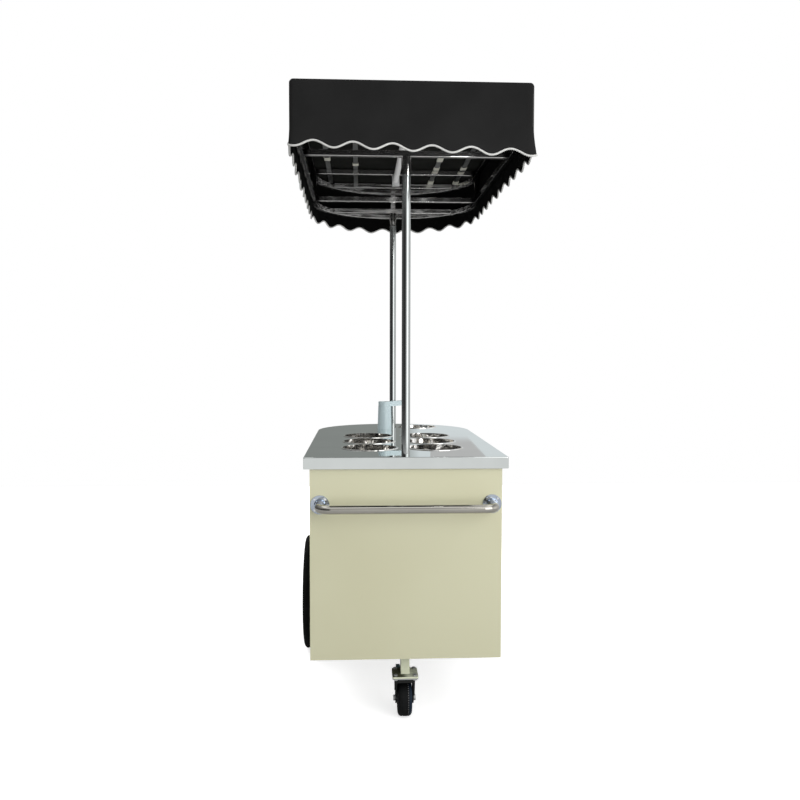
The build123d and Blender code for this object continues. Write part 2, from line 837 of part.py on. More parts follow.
# Collars inside and cap nuts outside, which keep the wheels on the axle
with BuildPart() as axle_nuts:
    for side in (-1, 1):
        with BuildSketch(Plane.YZ.offset(side * (hub_inner - side_clearance))):
            with Locations((axle_y, axle_z)):
                Circle(axle_collar / 2)
                Circle(axle_diameter / 2 + seat_clearance, mode=Mode.SUBTRACT)
        extrude(amount=-side * axle_collar_width)
        with BuildSketch(Plane.YZ.offset(side * (hub_outer + side_clearance))):
            with Locations((axle_y, axle_z)):
                RegularPolygon(axle_nut / 2, 6)
        extrude(amount=side * axle_nut_height)
        with BuildSketch(Plane.YZ.offset(side * (hub_outer + side_clearance))):
            with Locations((axle_y, axle_z)):
                Circle(axle_diameter / 2 + seat_clearance)
        extrude(amount=side * (axle_nut_height / 2 + seat_clearance), mode=Mode.SUBTRACT)
axle_nuts.part.label = "axle_nuts"
export_step(axle_nuts.part, "parts/axle_nuts.step")

# Side wheels: tyre, spoked casting and a pair of bearings on each end of the axle
wheel_plane = Plane(origin=(0, axle_y, axle_z), x_dir=(1, 0, 0), z_dir=(0, -1, 0))
wheel_radius = wheel_diameter / 2
rim_radius = wheel_radius - tyre_height
tyre_middle = (tyre_inner + tyre_outer) / 2
for name, side in (("left", -1), ("right", 1)):
    middle = side * tyre_middle
    groove_places = [(middle + shift * tread_width / 4, wheel_radius) for shift in (-1, 1)]
    with BuildPart() as tyre:
        with BuildSketch(wheel_plane):
            with BuildLine():
                seat = rim_radius + seat_clearance
                bulge = (seat + wheel_radius) / 2
                Polyline(
                    (middle - tread_width / 2, wheel_radius),
                    (middle + tread_width / 2, wheel_radius),
                )
                ThreePointArc(
                    (middle + tread_width / 2, wheel_radius),
                    (middle + tyre_width / 2, bulge),
                    (middle + rim_width / 2, seat),
                )
                Polyline((middle + rim_width / 2, seat), (middle - rim_width / 2, seat))
                ThreePointArc(
                    (middle - rim_width / 2, seat),
                    (middle - tyre_width / 2, bulge),
                    (middle - tread_width / 2, wheel_radius),
                )
            make_face()
            with Locations(*groove_places):
                Rectangle(tread_groove, 2 * tread_groove_depth, mode=Mode.SUBTRACT)
        revolve(axis=axle_line)
    tyre.part.label = f"tyre_{name}"
    export_step(tyre.part, f"parts/tyre_{name}.step")

    hub_middle = side * (hub_inner + hub_outer) / 2
    with BuildPart() as wheel:
        with BuildSketch(wheel_plane):
            with BuildLine():
                rim_inside = rim_radius - rim_thickness
                Polyline(
                    (middle - rim_width / 2, rim_radius),
                    (middle + rim_width / 2, rim_radius),
                    (middle + rim_width / 2, rim_radius - rim_lip),
                    (middle + spoke_thickness / 2, rim_inside - rim_lip),
                    (middle - spoke_thickness / 2, rim_inside - rim_lip),
                    (middle - rim_width / 2, rim_radius - rim_lip),
                    close=True,
                )
            make_face()
            with Locations((hub_middle, hub_diameter / 4)):
                Rectangle(hub_length, hub_diameter / 2)
        revolve(axis=axle_line)
        with BuildSketch(Plane.YZ.offset(middle - spoke_thickness / 2)):
            with Locations((axle_y, axle_z)):
                with PolarLocations(0, spoke_count):
                    Polygon(
                        (bearing_outer / 2, -spoke_width / 2),
                        (rim_radius - rim_thickness, -spoke_tip_width / 2),
                        (rim_radius - rim_thickness, spoke_tip_width / 2),
                        (bearing_outer / 2, spoke_width / 2),
                        align=None,
                    )
        extrude(amount=spoke_thickness)
        with BuildSketch(Plane.YZ.offset(hub_middle)):
            with Locations((axle_y, axle_z)):
                Circle((axle_diameter + bearing_outer) / 4)
        extrude(amount=hub_length / 2, both=True, mode=Mode.SUBTRACT)
        for end in (-1, 1):
            with BuildSketch(Plane.YZ.offset(hub_middle + end * hub_length / 2)):
                with Locations((axle_y, axle_z)):
                    Circle(bearing_outer / 2 + seat_clearance)
            extrude(amount=-end * bearing_width, mode=Mode.SUBTRACT)
    wheel.part.label = f"wheel_{name}"
    export_step(wheel.part, f"parts/wheel_{name}.step")

    with BuildPart() as wheel_bearings:
        for end in (-1, 1):
            with BuildSketch(Plane.YZ.offset(hub_middle + end * hub_length / 2)):
                with Locations((axle_y, axle_z)):
                    Circle(bearing_outer / 2)
                    Circle(axle_diameter / 2 + running_clearance, mode=Mode.SUBTRACT)
            extrude(amount=-end * bearing_width)
    wheel_bearings.part.label = f"wheel_bearings_{name}"
    export_step(wheel_bearings.part, f"parts/wheel_bearings_{name}.step")

# Caster post: square tube from the lower frame to a welded foot plate
bolt_x = caster_plate_width / 2 - plate_bolt_inset
bolt_y = caster_plate_depth / 2 - plate_bolt_inset
bolt_places = [(x, caster_y + y) for x in (-bolt_x, bolt_x) for y in (-bolt_y, bolt_y)]
bolt_hole = plate_bolt / 2 + drain_clearance


# Plate outline with rounded corners and four bolt holes, over the swivel axis
def bolted_plate(z):
    with BuildSketch(Plane.XY.offset(z)) as plate:
        with Locations((0, caster_y)):
            RectangleRounded(caster_plate_width, caster_plate_depth, plate_corner)
        with Locations(*bolt_places):
            Circle(bolt_hole, mode=Mode.SUBTRACT)
    return plate.sketch


with BuildPart() as caster_post:
    extrude(bolted_plate(foot_plate_bottom), amount=foot_plate_thickness)
    post_section = tube_section(Plane.XY.offset(foot_plate_top), (0, caster_y), post_size, post_wall)
    extrude(post_section, amount=frame_bottom - foot_plate_top)
caster_post.part.label = "caster_post"
export_step(caster_post.part, "parts/caster_post.step")

# Top plate of the caster with its pressed ball race
with BuildPart() as caster_plate:
    extrude(bolted_plate(caster_plate_bottom), amount=caster_plate_thickness)
    with BuildSketch(Plane.XY.offset(caster_plate_bottom)):
        with Locations((0, caster_y)):
            Circle(race_diameter / 2)
    extrude(amount=swivel_clearance - race_height)
    with BuildSketch(Plane.XY.offset(foot_plate_bottom)):
        with Locations((0, caster_y)):
            Circle(kingpin_diameter / 2 + seat_clearance)
    extrude(amount=-caster_plate_thickness - race_height, mode=Mode.SUBTRACT)
caster_plate.part.label = "caster_plate"
export_step(caster_plate.part, "parts/caster_plate.step")

# Four bolts through both plates, each with its head above and its nut below
with BuildPart() as caster_bolts:
    with BuildSketch(Plane.XY.offset(foot_plate_top)):
        with Locations(*bolt_places):
            RegularPolygon(plate_bolt_head / 2, 6)
    extrude(amount=plate_bolt_head_height)
    with BuildSketch(Plane.XY.offset(foot_plate_top)):
        with Locations(*bolt_places):
            Circle(plate_bolt / 2)
    extrude(amount=caster_plate_bottom - foot_plate_top)
    with BuildSketch(Plane.XY.offset(caster_plate_bottom)):
        with Locations(*bolt_places):
            RegularPolygon(plate_bolt_head / 2, 6)
    extrude(amount=-plate_bolt_head_height)
caster_bolts.part.label = "caster_bolts"
export_step(caster_bolts.part, "parts/caster_bolts.step")

# Kingpin: flush with the plate, with a nut under the crown of the fork
with BuildPart() as kingpin:
    with BuildSketch(Plane.XY.offset(foot_plate_bottom)):
        with Locations((0, caster_y)):
            Circle(kingpin_diameter / 2)
    extrude(amount=crown_bottom - swivel_clearance - kingpin_nut_height - foot_plate_bottom)
    with BuildSketch(Plane.XY.offset(crown_bottom - swivel_clearance)):
        with Locations((0, caster_y)):
            RegularPolygon(kingpin_nut / 2, 6)
    extrude(amount=-kingpin_nut_height)
kingpin.part.label = "kingpin"
export_step(kingpin.part, "parts/kingpin.step")

# Side of one fork leg, from the crown down to the axle eye, or only the rim along its two edges
def fork_leg(x, rim_only):
    with BuildSketch(Plane.YZ.offset(x)) as leg:
        with Locations((caster_axle_y, caster_radius)):
            Circle(fork_eye / 2)
        with Locations((caster_y - fork_front, crown_bottom)):
            Rectangle(fork_front + fork_back, fork_sheet, align=Align.MIN)
        make_hull()
        if rim_only:
            offset(amount=-fork_rim_depth, mode=Mode.SUBTRACT)
            with Locations((caster_axle_y, caster_radius + fork_eye / 2)):
                Rectangle(4 * fork_back, 2 * fork_eye, align=(Align.CENTER, Align.MAX), mode=Mode.SUBTRACT)
            with Locations((caster_axle_y, crown_bottom)):
                Rectangle(4 * fork_back, 2 * fork_sheet, align=(Align.CENTER, Align.MIN), mode=Mode.SUBTRACT)
    return leg.sketch


# Fork: a pressed crown with a front apron and two rimmed legs down to the axle eyes
with BuildPart() as caster_fork:
    for x in (-fork_outer, fork_inner):
        extrude(fork_leg(x, False), amount=fork_sheet)
    with BuildSketch(Plane.XY.offset(crown_bottom)):
        with Locations((0, caster_y - fork_front)):
            Rectangle(2 * fork_outer, fork_front + fork_back, align=(Align.CENTER, Align.MIN))
    extrude(amount=fork_sheet)
    fillet(caster_fork.edges().filter_by(Axis.Y).group_by(Axis.Z)[-1], fork_sheet / 2)
    with BuildSketch(Plane.XY.offset(crown_bottom)):
        with Locations((0, caster_y - fork_front)):
            Rectangle(2 * fork_outer, fork_sheet, align=(Align.CENTER, Align.MIN))
    extrude(amount=-fork_apron)
    for side in (-1, 1):
        extrude(fork_leg(side * fork_outer, True), amount=side * fork_rim)
    with BuildSketch(Plane.XY.offset(crown_top)):
        with Locations((0, caster_y)):
            Circle(kingpin_diameter / 2 + running_clearance)
    extrude(amount=-fork_sheet, mode=Mode.SUBTRACT)
    with BuildSketch(Plane.YZ.offset(-fork_outer)):
        with Locations((caster_axle_y, caster_radius)):
            Circle(caster_bore / 2 + seat_clearance)
        with Locations((pedal_y, pedal_z)):
            Circle(pedal_pin / 2 + running_clearance)
    extrude(amount=2 * fork_outer, mode=Mode.SUBTRACT)
caster_fork.part.label = "caster_fork"
export_step(caster_fork.part, "parts/caster_fork.step")

# Axle bolt of the caster wheel, with its head and nut outside the legs
with BuildPart() as caster_axle:
    with BuildSketch(Plane.YZ.offset(-fork_outer)):
        with Locations((caster_axle_y, caster_radius)):
            Circle(caster_bore / 2)
    extrude(amount=2 * fork_outer)
    for side in (-1, 1):
        with BuildSketch(Plane.YZ.offset(side * fork_outer)):
            with Locations((caster_axle_y, caster_radius)):
                RegularPolygon(axle_bolt_head / 2, 6)
        extrude(amount=side * axle_bolt_head_height)
caster_axle.part.label = "caster_axle"
export_step(caster_axle.part, "parts/caster_axle.step")

# Caster wheel: moulded tread on a core
caster_plane = Plane(origin=(0, caster_axle_y, caster_radius), x_dir=(1, 0, 0), z_dir=(0, -1, 0))
caster_line = Axis((0, caster_axle_y, caster_radius), (1, 0, 0))
with BuildPart() as caster_tyre:
    with BuildSketch(caster_plane):
        core_seat = caster_core / 2 + seat_clearance
        with Locations((0, (caster_radius + core_seat) / 2)):
            Rectangle(caster_width, caster_radius - core_seat)
    revolve(axis=caster_line)
    fillet(caster_tyre.edges().sort_by(SortBy.LENGTH)[-2:], caster_round)
    with BuildSketch(caster_plane):
        with Locations((-caster_groove_offset, caster_radius), (caster_groove_offset, caster_radius)):
            Rectangle(caster_groove, 2 * caster_groove_depth)
    revolve(axis=caster_line, mode=Mode.SUBTRACT)
caster_tyre.part.label = "caster_tyre"
export_step(caster_tyre.part, "parts/caster_tyre.step")

with BuildPart() as caster_hub:
    with BuildSketch(caster_plane):
        with BuildLine():
            Polyline(
                (-caster_hub_width / 2, caster_bore / 2 + running_clearance),
                (-caster_hub_width / 2, caster_hub_diameter / 2),
                (-caster_hub_width / 4, caster_hub_diameter / 2),
                (-caster_width / 2 + caster_round / 2, caster_core / 2),
                (caster_width / 2 - caster_round / 2, caster_core / 2),
                (caster_hub_width / 4, caster_hub_diameter / 2),
                (caster_hub_width / 2, caster_hub_diameter / 2),
                (caster_hub_width / 2, caster_bore / 2 + running_clearance),
                close=True,
            )
        make_face()
    revolve(axis=caster_line)
caster_hub.part.label = "caster_hub"
export_step(caster_hub.part, "parts/caster_hub.step")

# Brake pedal: a lever on stub pins in the fork, with a shoe over the tread, and a pad with a raised tab
with BuildPart() as brake_pedal:
    with BuildSketch(Plane.YZ.offset(-fork_inner + fork_gap / 2)):
        with Locations((pedal_y, pedal_z)):
            Circle(pedal_hub / 2)
    extrude(amount=2 * fork_inner - fork_gap)
    with BuildSketch(Plane.YZ.offset(-fork_outer)):
        with Locations((pedal_y, pedal_z)):
            Circle(pedal_pin / 2)
    extrude(amount=2 * fork_outer)
    with BuildSketch(Plane.YZ.offset(-pedal_width / 2)):
        with Locations((pedal_y, pedal_z - pedal_sheet / 2)):
            Rectangle(pedal_reach, pedal_sheet, align=Align.MIN)
        with Locations((pedal_y + shoe_start, pedal_z)):
            Rectangle(shoe_length, shoe_depth + pedal_sheet / 2, align=(Align.MIN, Align.MAX))
        with Locations((pedal_y + pedal_reach, pedal_z)):
            RectangleRounded(
                pedal_pad_length, pedal_pad_thickness, pedal_pad_round, align=(Align.MAX, Align.CENTER)
            )
    extrude(amount=pedal_width)
    with BuildSketch(Plane.XZ.offset(-pedal_y - pedal_reach + pedal_pad_round)):
        Polygon(
            (-pedal_width / 2, pedal_z),
            (pedal_tab - pedal_width / 2, pedal_z),
            (pedal_tab_top - pedal_width / 2, pedal_z + pedal_tab_height),
            (-pedal_width / 2, pedal_z + pedal_tab_height),
            align=None,
        )
    extrude(amount=pedal_pad_length - 2 * pedal_pad_round)
brake_pedal.part.label = "brake_pedal"
export_step(brake_pedal.part, "parts/brake_pedal.step")

# Canopy frame: two rails of side tubes and a bent nose tube, posts, crossbars and flat bars under the cloth
lower_bottom = lower_rail - canopy_tube / 2
for name, z in (("canopy_lower_rail", lower_rail), ("canopy_upper_rail", upper_rail)):
    with BuildPart() as canopy_rail:
        for x in (-rail_middle, rail_middle):
            side_start = Plane(origin=(x, rail_near, z), x_dir=(1, 0, 0), z_dir=(0, 1, 0))
            section = tube_section(side_start, (0, 0), canopy_tube, canopy_tube_wall)
            extrude(section, amount=canopy_chord - weld_gap - rail_near)
        with BuildLine(Plane.XY.offset(z)) as bend:
            tip = (0, canopy_chord + rail_middle)
            ThreePointArc((-rail_middle, canopy_chord), tip, (rail_middle, canopy_chord))
        nose_start = Plane(origin=(-rail_middle, canopy_chord, z), x_dir=(1, 0, 0), z_dir=(0, 1, 0))
        sweep(tube_section(nose_start, (0, 0), canopy_tube, canopy_tube_wall), path=bend.line)
    canopy_rail.part.label = name
    export_step(canopy_rail.part, f"parts/{name}.step")

straight_bars = (near_bar_y, rear_pole_y, end_frame_y)
canopy_post_places = [(x, y) for y in straight_bars for x in (-rail_middle, rail_middle)]
canopy_post_places.append((0, front_pole_y))
canopy_post_start = Plane.XY.offset(lower_bottom + canopy_tube + weld_gap)
canopy_post_length = canopy_frame_depth - canopy_tube - 2 * weld_gap
with BuildPart() as canopy_posts:
    for place in canopy_post_places:
        section = tube_section(canopy_post_start, place, canopy_tube, canopy_tube_wall)
        extrude(section, amount=canopy_post_length)
canopy_posts.part.label = "canopy_posts"
export_step(canopy_posts.part, "parts/canopy_posts.step")

# Crossbars reach the inner face of the rails, on the straight sides and on the half-round end
straight_span = rail_half - canopy_tube - weld_gap
nose_depth = front_pole_y + canopy_tube / 2 - canopy_chord
nose_span = sqrt((rail_half - canopy_tube) ** 2 - nose_depth**2) - weld_gap
crossbars = [(y, straight_span) for y in straight_bars]
crossbars.append((front_pole_y, nose_span))
with BuildPart() as canopy_crossbars:
    for z in (lower_rail, upper_rail):
        for y, span in crossbars:
            section = tube_section(Plane.YZ.offset(-span), (y, z), canopy_tube, canopy_tube_wall)
            extrude(section, amount=2 * span)
canopy_crossbars.part.label = "canopy_crossbars"
export_step(canopy_crossbars.part, "parts/canopy_crossbars.step")

with BuildPart() as roof_bars:
    with BuildSketch(Plane.XY.offset(roof_bar_top)):
        for x in roof_bar_offsets:
            bar_far = canopy_chord + sqrt(rail_middle**2 - (x + roof_bar_width / 2) ** 2)
            for side in (-1, 1):
                with Locations((side * x, rail_near)):
                    Rectangle(roof_bar_width, bar_far - rail_near, align=(Align.CENTER, Align.MIN))
    extrude(amount=-roof_bar_thickness)
roof_bars.part.label = "roof_bars"
export_step(roof_bars.part, "parts/roof_bars.step")

# Light tube between two holders that hang from the upper crossbars
led_z = upper_rail - canopy_tube / 2 - led_holder_height / 2
led_near = rear_pole_y + led_holder_depth / 2
led_far = end_frame_y - led_holder_depth / 2
with BuildPart() as led_holders:
    with BuildSketch(Plane.XY.offset(upper_rail - canopy_tube / 2)):
        with Locations((0, rear_pole_y), (0, end_frame_y)):
            RectangleRounded(led_holder_width, led_holder_depth, led_holder_depth / 6)
    extrude(amount=-led_holder_height)
led_holders.part.label = "led_holders"
export_step(led_holders.part, "parts/led_holders.step")

with BuildPart() as led_tube:
    with BuildSketch(Plane.XZ.offset(-led_near)):
        with Locations((0, led_z)):
            Circle(led_diameter / 2)
    extrude(amount=led_near - led_far)
led_tube.part.label = "led_tube"
export_step(led_tube.part, "parts/led_tube.step")


# One arch of the wavy hem, from tangent arcs, on the plane of one wall
def scallop(place, outward, pitch):
    along = Vector(0, 0, 1).cross(Vector(*outward))
    turn = 2 * atan(2 * hem_rise / pitch)
    bend = pitch / 4 / sin(turn)
    lead_x = bend * sin(turn / 2)
    lead_y = bend * (1 - cos(turn / 2))
    with BuildSketch(Plane(origin=(*place, hem_low - hem_trim), x_dir=along, z_dir=outward)) as arch:
        with BuildLine():
            ThreePointArc((-pitch / 2, 0), (lead_x - pitch / 2, lead_y), (-pitch / 4, hem_rise / 2))
            ThreePointArc((-pitch / 4, hem_rise / 2), (0, hem_rise), (pitch / 4, hem_rise / 2))
            ThreePointArc((pitch / 4, hem_rise / 2), (pitch / 2 - lead_x, lead_y), (pitch / 2, 0))
            Polyline((pitch / 2, 0), (pitch / 2, -hem_rise), (-pitch / 2, -hem_rise), (-pitch / 2, 0))
        make_face()
    return arch.sketch


# Cloth cover: a roof panel with near, side and nose valances sewn under its edge, and a wavy hem all round
near_pitch = canopy_width / near_scallops
side_pitch = (canopy_chord - canopy_near) / side_scallops
nose_step = pi / nose_scallops
nose_pitch = 2 * canopy_half * sin(nose_step / 2)
scallops = []
for index in range(near_scallops):
    scallops.append(((near_pitch * (index + 0.5) - canopy_half, canopy_near), (0, -1, 0), near_pitch))
for index in range(side_scallops):
    for side in (-1, 1):
        place = (side * canopy_half, canopy_near + side_pitch * (index + 0.5))
        scallops.append((place, (side, 0, 0), side_pitch))
for index in range(nose_scallops):
    angle = nose_step * (index + 0.5)
    place = (canopy_half * cos(angle), canopy_chord + canopy_half * sin(angle))
    scallops.append((place, (cos(angle), sin(angle), 0), nose_pitch))
valance_top = canopy_top - fabric_thickness - weld_gap
side_near = canopy_near + fabric_thickness + weld_gap
side_far = canopy_chord - weld_gap
with BuildPart() as canopy_fabric:
    with BuildSketch(Plane.XY.offset(canopy_top)):
        with BuildLine():
            half_round(canopy_half, canopy_near, canopy_chord)
        make_face()
    extrude(amount=-fabric_thickness)
    with BuildSketch(Plane.XY.offset(hem_low)):
        with Locations((0, canopy_near)):
            Rectangle(canopy_width, fabric_thickness, align=(Align.CENTER, Align.MIN))
        for side in (-1, 1):
            with Locations((side * (canopy_half - fabric_thickness / 2), side_near)):
                Rectangle(fabric_thickness, side_far - side_near, align=(Align.CENTER, Align.MIN))
        with Locations((0, canopy_chord)):
            with BuildSketch(mode=Mode.PRIVATE) as nose_band:
                Circle(canopy_half)
                Circle(canopy_half - fabric_thickness, mode=Mode.SUBTRACT)
                Rectangle(canopy_width, canopy_half, align=(Align.CENTER, Align.MAX), mode=Mode.SUBTRACT)
            add(nose_band.sketch)
    extrude(amount=valance_top - hem_low)
    for place, outward, pitch in scallops:
        extrude(scallop(place, outward, pitch), amount=4 * fabric_thickness, both=True, mode=Mode.SUBTRACT)
canopy_fabric.part.label = "canopy_fabric"
export_step(canopy_fabric.part, "parts/canopy_fabric.step")

# Hinges: fixed leaves with the lower barrels and the pins
hinge_places = [door_bottom + hinge_end_inset, door_top - hinge_end_inset - hinge_length]
hinge_half = hinge_length / 2
with BuildPart() as door_hinges:
    for z in hinge_places:
        with BuildSketch(Plane.XY.offset(z)):
            with Locations((hinge_x, hinge_y)):
                Circle(hinge_barrel / 2)
            with Locations((body_half, hinge_y)):
                Rectangle(hinge_barrel / 2, hinge_leaf, align=(Align.MIN, Align.MAX))
            with Locations((body_half + hinge_leaf_thickness, hinge_y - hinge_barrel / 2)):
                Rectangle(hinge_barrel, hinge_leaf, align=(Align.MIN, Align.MAX), mode=Mode.SUBTRACT)
        extrude(amount=hinge_half - side_clearance)
        with BuildSketch(Plane.XY.offset(z)):
            with Locations((hinge_x, hinge_y)):
                Circle(hinge_pin / 2)
        extrude(amount=hinge_length - hinge_leaf_thickness)
door_hinges.part.label = "door_hinges"
export_step(door_hinges.part, "parts/door_hinges.step")

# Door: a sheet pan with folded edges and the upper hinge barrels welded on
with BuildPart() as service_door:
    with BuildSketch(Plane.YZ.offset(body_half)):
        with Locations((door_near + door_gap, door_bottom + door_gap)):
            Rectangle(door_width - 2 * door_gap, door_height - 2 * door_gap, align=Align.MIN)
    extrude(amount=-door_return)
    offset(amount=-panel_sheet, openings=service_door.faces().sort_by(Axis.X)[0])
    for z in hinge_places:
        with BuildSketch(Plane.XY.offset(z + hinge_half)):
            with Locations((hinge_x, hinge_y)):
                Circle(hinge_barrel / 2)
            with Locations((body_half, hinge_y + door_gap)):
                Rectangle(hinge_barrel / 2, hinge_leaf, align=Align.MIN)
            with Locations((body_half + hinge_leaf_thickness, hinge_y + hinge_barrel / 2)):
                Rectangle(hinge_barrel, hinge_leaf, align=Align.MIN, mode=Mode.SUBTRACT)
        extrude(amount=hinge_half)
        with BuildSketch(Plane.XY.offset(z + hinge_half)):
            with Locations((hinge_x, hinge_y)):
                Circle(hinge_pin / 2 + running_clearance)
        extrude(amount=hinge_half, mode=Mode.SUBTRACT)
service_door.part.label = "service_door"
export_step(service_door.part, "parts/service_door.step")

# Turned knob on the free edge of the door
knob_y = door_far - door_gap - knob_inset
knob_z = (door_bottom + door_top) / 2
with BuildPart() as door_knob:
    with BuildSketch(Plane.YZ.offset(body_half)):
        with Locations((knob_y, knob_z)):
            Circle(knob_neck / 2)
    extrude(amount=knob_height)
    with BuildSketch(Plane.YZ.offset(body_half + knob_height - knob_head)):
        with Locations((knob_y, knob_z)):
            Circle(knob_diameter / 2)
    extrude(amount=knob_head)
    fillet(door_knob.edges().group_by(Axis.X)[-1], knob_head / 3)
door_knob.part.label = "door_knob"
export_step(door_knob.part, "parts/door_knob.step")
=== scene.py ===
from math import cos, pi, radians, sin

import bpy
from mathutils import Matrix, Vector


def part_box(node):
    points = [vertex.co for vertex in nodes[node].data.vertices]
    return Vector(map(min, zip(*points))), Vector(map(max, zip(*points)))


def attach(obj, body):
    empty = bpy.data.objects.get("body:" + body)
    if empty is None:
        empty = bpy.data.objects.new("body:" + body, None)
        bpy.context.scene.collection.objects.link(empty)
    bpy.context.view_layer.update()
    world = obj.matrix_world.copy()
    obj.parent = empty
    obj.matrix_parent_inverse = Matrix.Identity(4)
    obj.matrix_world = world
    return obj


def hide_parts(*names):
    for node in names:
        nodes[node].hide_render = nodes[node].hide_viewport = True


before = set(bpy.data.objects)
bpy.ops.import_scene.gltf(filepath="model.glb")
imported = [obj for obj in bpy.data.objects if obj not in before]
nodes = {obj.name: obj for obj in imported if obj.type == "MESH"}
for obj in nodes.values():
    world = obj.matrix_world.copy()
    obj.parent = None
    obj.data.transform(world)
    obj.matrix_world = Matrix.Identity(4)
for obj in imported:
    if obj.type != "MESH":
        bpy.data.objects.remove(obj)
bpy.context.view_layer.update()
scene = bpy.context.scene
print("frame loaded:", len(nodes), "nodes")


# small helpers for modelling by operators
def pickNothing():
    if bpy.context.mode != "OBJECT":
        bpy.ops.object.mode_set(mode="OBJECT")
    bpy.ops.object.select_all(action="DESELECT")


def pickOnly(piece):
    pickNothing()
    piece.select_set(True)
    bpy.context.view_layer.objects.active = piece


def clearPicks(piece):
    bpy.ops.object.mode_set(mode="OBJECT")
    mesh = piece.data
    for kind in (mesh.vertices, mesh.edges, mesh.polygons):
        kind.foreach_set("select", [False] * len(kind))
    return mesh


def pickFaces(piece, wanted):
    mesh = clearPicks(piece)
    for face in mesh.polygons:
        face.select = bool(wanted(face))
    bpy.ops.object.mode_set(mode="EDIT")
    bpy.ops.mesh.select_mode(type="FACE")


def pickEdges(piece, wanted):
    mesh = clearPicks(piece)
    for edge in mesh.edges:
        ends = [mesh.vertices[index].co for index in edge.vertices]
        edge.select = bool(wanted(*ends))
    bpy.ops.object.mode_set(mode="EDIT")
    bpy.ops.mesh.select_mode(type="EDGE")


def addModifier(piece, name, kind, **settings):
    pickOnly(piece)
    modifier = piece.modifiers.new(name, kind)
    for setting, value in settings.items():
        setattr(modifier, setting, value)
    bpy.ops.object.modifier_apply(modifier=modifier.name)


def newPiece(name, paint, body):
    piece = bpy.context.object
    piece.name = name
    piece.data.name = name
    dress(piece, paint)
    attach(piece, body)
    return piece


def settle(piece):
    pickOnly(piece)
    bpy.ops.object.transform_apply(location=True, rotation=True, scale=True)


def dress(piece, paint):
    piece.data.materials.clear()
    piece.data.materials.append(paint.material)


# a socket of a material, so that shader maths reads as a plain sum
class Signal:
    def __init__(self, paint, socket):
        self.paint, self.socket = paint, socket

    def __add__(self, other):
        return self.paint.sum("ADD", self, other)

    def __sub__(self, other):
        return self.paint.sum("SUBTRACT", self, other)

    def __mul__(self, other):
        return self.paint.sum("MULTIPLY", self, other)

    def __truediv__(self, other):
        return self.paint.sum("DIVIDE", self, other)

    def __gt__(self, other):
        return self.paint.sum("GREATER_THAN", self, other)

    def __lt__(self, other):
        return self.paint.sum("LESS_THAN", self, other)

    def __radd__(self, other):
        return self.paint.sum("ADD", other, self)

    def __rsub__(self, other):
        return self.paint.sum("SUBTRACT", other, self)

    def __rmul__(self, other):
        return self.paint.sum("MULTIPLY", other, self)


# one finish: its node tree, with a method that adds any node
class Paint:
    def __init__(self, name, tree=None, **fixed):
        self.material = None
        if tree is None:
            self.material = bpy.data.materials.new(name)
            self.material.use_nodes = True
            tree = self.material.node_tree
            self.shader = tree.nodes["Principled BSDF"]
            for socket, value in fixed.items():
                self.shader.inputs[socket.replace("_", " ")].default_value = value
        self.tree = tree

    def node(self, kind, settings, sockets, output=0):
        made = self.tree.nodes.new("ShaderNode" + kind)
        for setting, value in settings.items():
            if setting == "stops":
                ramp = made.color_ramp
                while len(ramp.elements) < len(value):
                    ramp.elements.new(0.5)
                for element, (place, colour) in zip(ramp.elements, value):
                    element.position, element.color = place, colour
            else:
                setattr(made, setting, value)
        for socket, value in sockets.items():
            self.feed(made.inputs[socket], value)
        return Signal(self, made.outputs[output])

    def feed(self, target, value):
        if isinstance(value, Signal):
            self.tree.links.new(value.socket, target)
        else:
            target.default_value = value

    def sum(self, operation, left, right):
        return self.node("Math", {"operation": operation}, {0: left, 1: right})

    def mix(self, factor, first, second):
        return self.node("Mix", {"data_type": "RGBA"}, {0: factor, 6: first, 7: second}, output=2)

    def place(self, source="Object"):
        return self.node("TexCoord", {}, {}, output=source)

    def noise(self, where, scale, detail=3.0):
        return self.node("TexNoise", {}, {"Vector": where, "Scale": scale, "Detail": detail})

    def stretch(self, where, scale):
        return self.node("Mapping", {}, {"Vector": where, "Scale": scale})

    def band(self, value, low, high):
        spans = {"Value": value, "From Min": low, "From Max": high}
        return self.node("MapRange", {"interpolation_type": "SMOOTHSTEP"}, spans)

    def split(self, where):
        parts = self.tree.nodes.new("ShaderNodeSeparateXYZ")
        self.feed(parts.inputs[0], where)
        return [Signal(self, parts.outputs[axis]) for axis in range(3)]

    def lean(self):
        return self.split(self.node("NewGeometry", {}, {}, output="Normal"))

    def bump(self, height, strength, distance):
        bumped = self.node("Bump", {}, {"Height": height, "Strength": strength, "Distance": distance})
        self.feed(self.shader.inputs["Normal"], bumped)

    def set(self, **links):
        for socket, value in links.items():
            self.feed(self.shader.inputs[socket.replace("_", " ")], value)


def shade(level, tint=(1.0, 1.0, 1.0)):
    return (level * tint[0], level * tint[1], level * tint[2], 1.0)


# the cloth cover's box, which its finish and the rails' finish read
coverLow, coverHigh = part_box("canopy_fabric")
coverHalf = coverHigh.x
coverChord = coverHigh.y - coverHalf
coverNear = coverLow.y
coverClear = 0.001  # the flat of the roof lies this far below the top of the box
coverTop = coverHigh.z - coverClear


# finishes, from the paint of the skins and the frame on
creamTint = {"base": (0.650, 0.636, 0.438), "pale": (0.675, 0.664, 0.465)}


def creamPaint(name, level=1.0):
    paint = Paint(name, Coat_Weight=0.25, Coat_Roughness=0.12)
    where = paint.place()
    cloud = paint.noise(where, 2.2, 2.0)
    speck = paint.noise(where, 240.0, 2.0)
    base, pale = shade(level, creamTint["base"]), shade(level, creamTint["pale"])
    paint.set(Base_Color=paint.mix(paint.band(cloud, 0.35, 0.65), base, pale))
    paint.set(Roughness=0.30 + 0.10 * paint.noise(where, 9.0))
    paint.bump(speck, 0.05, 0.0004)
    return paint


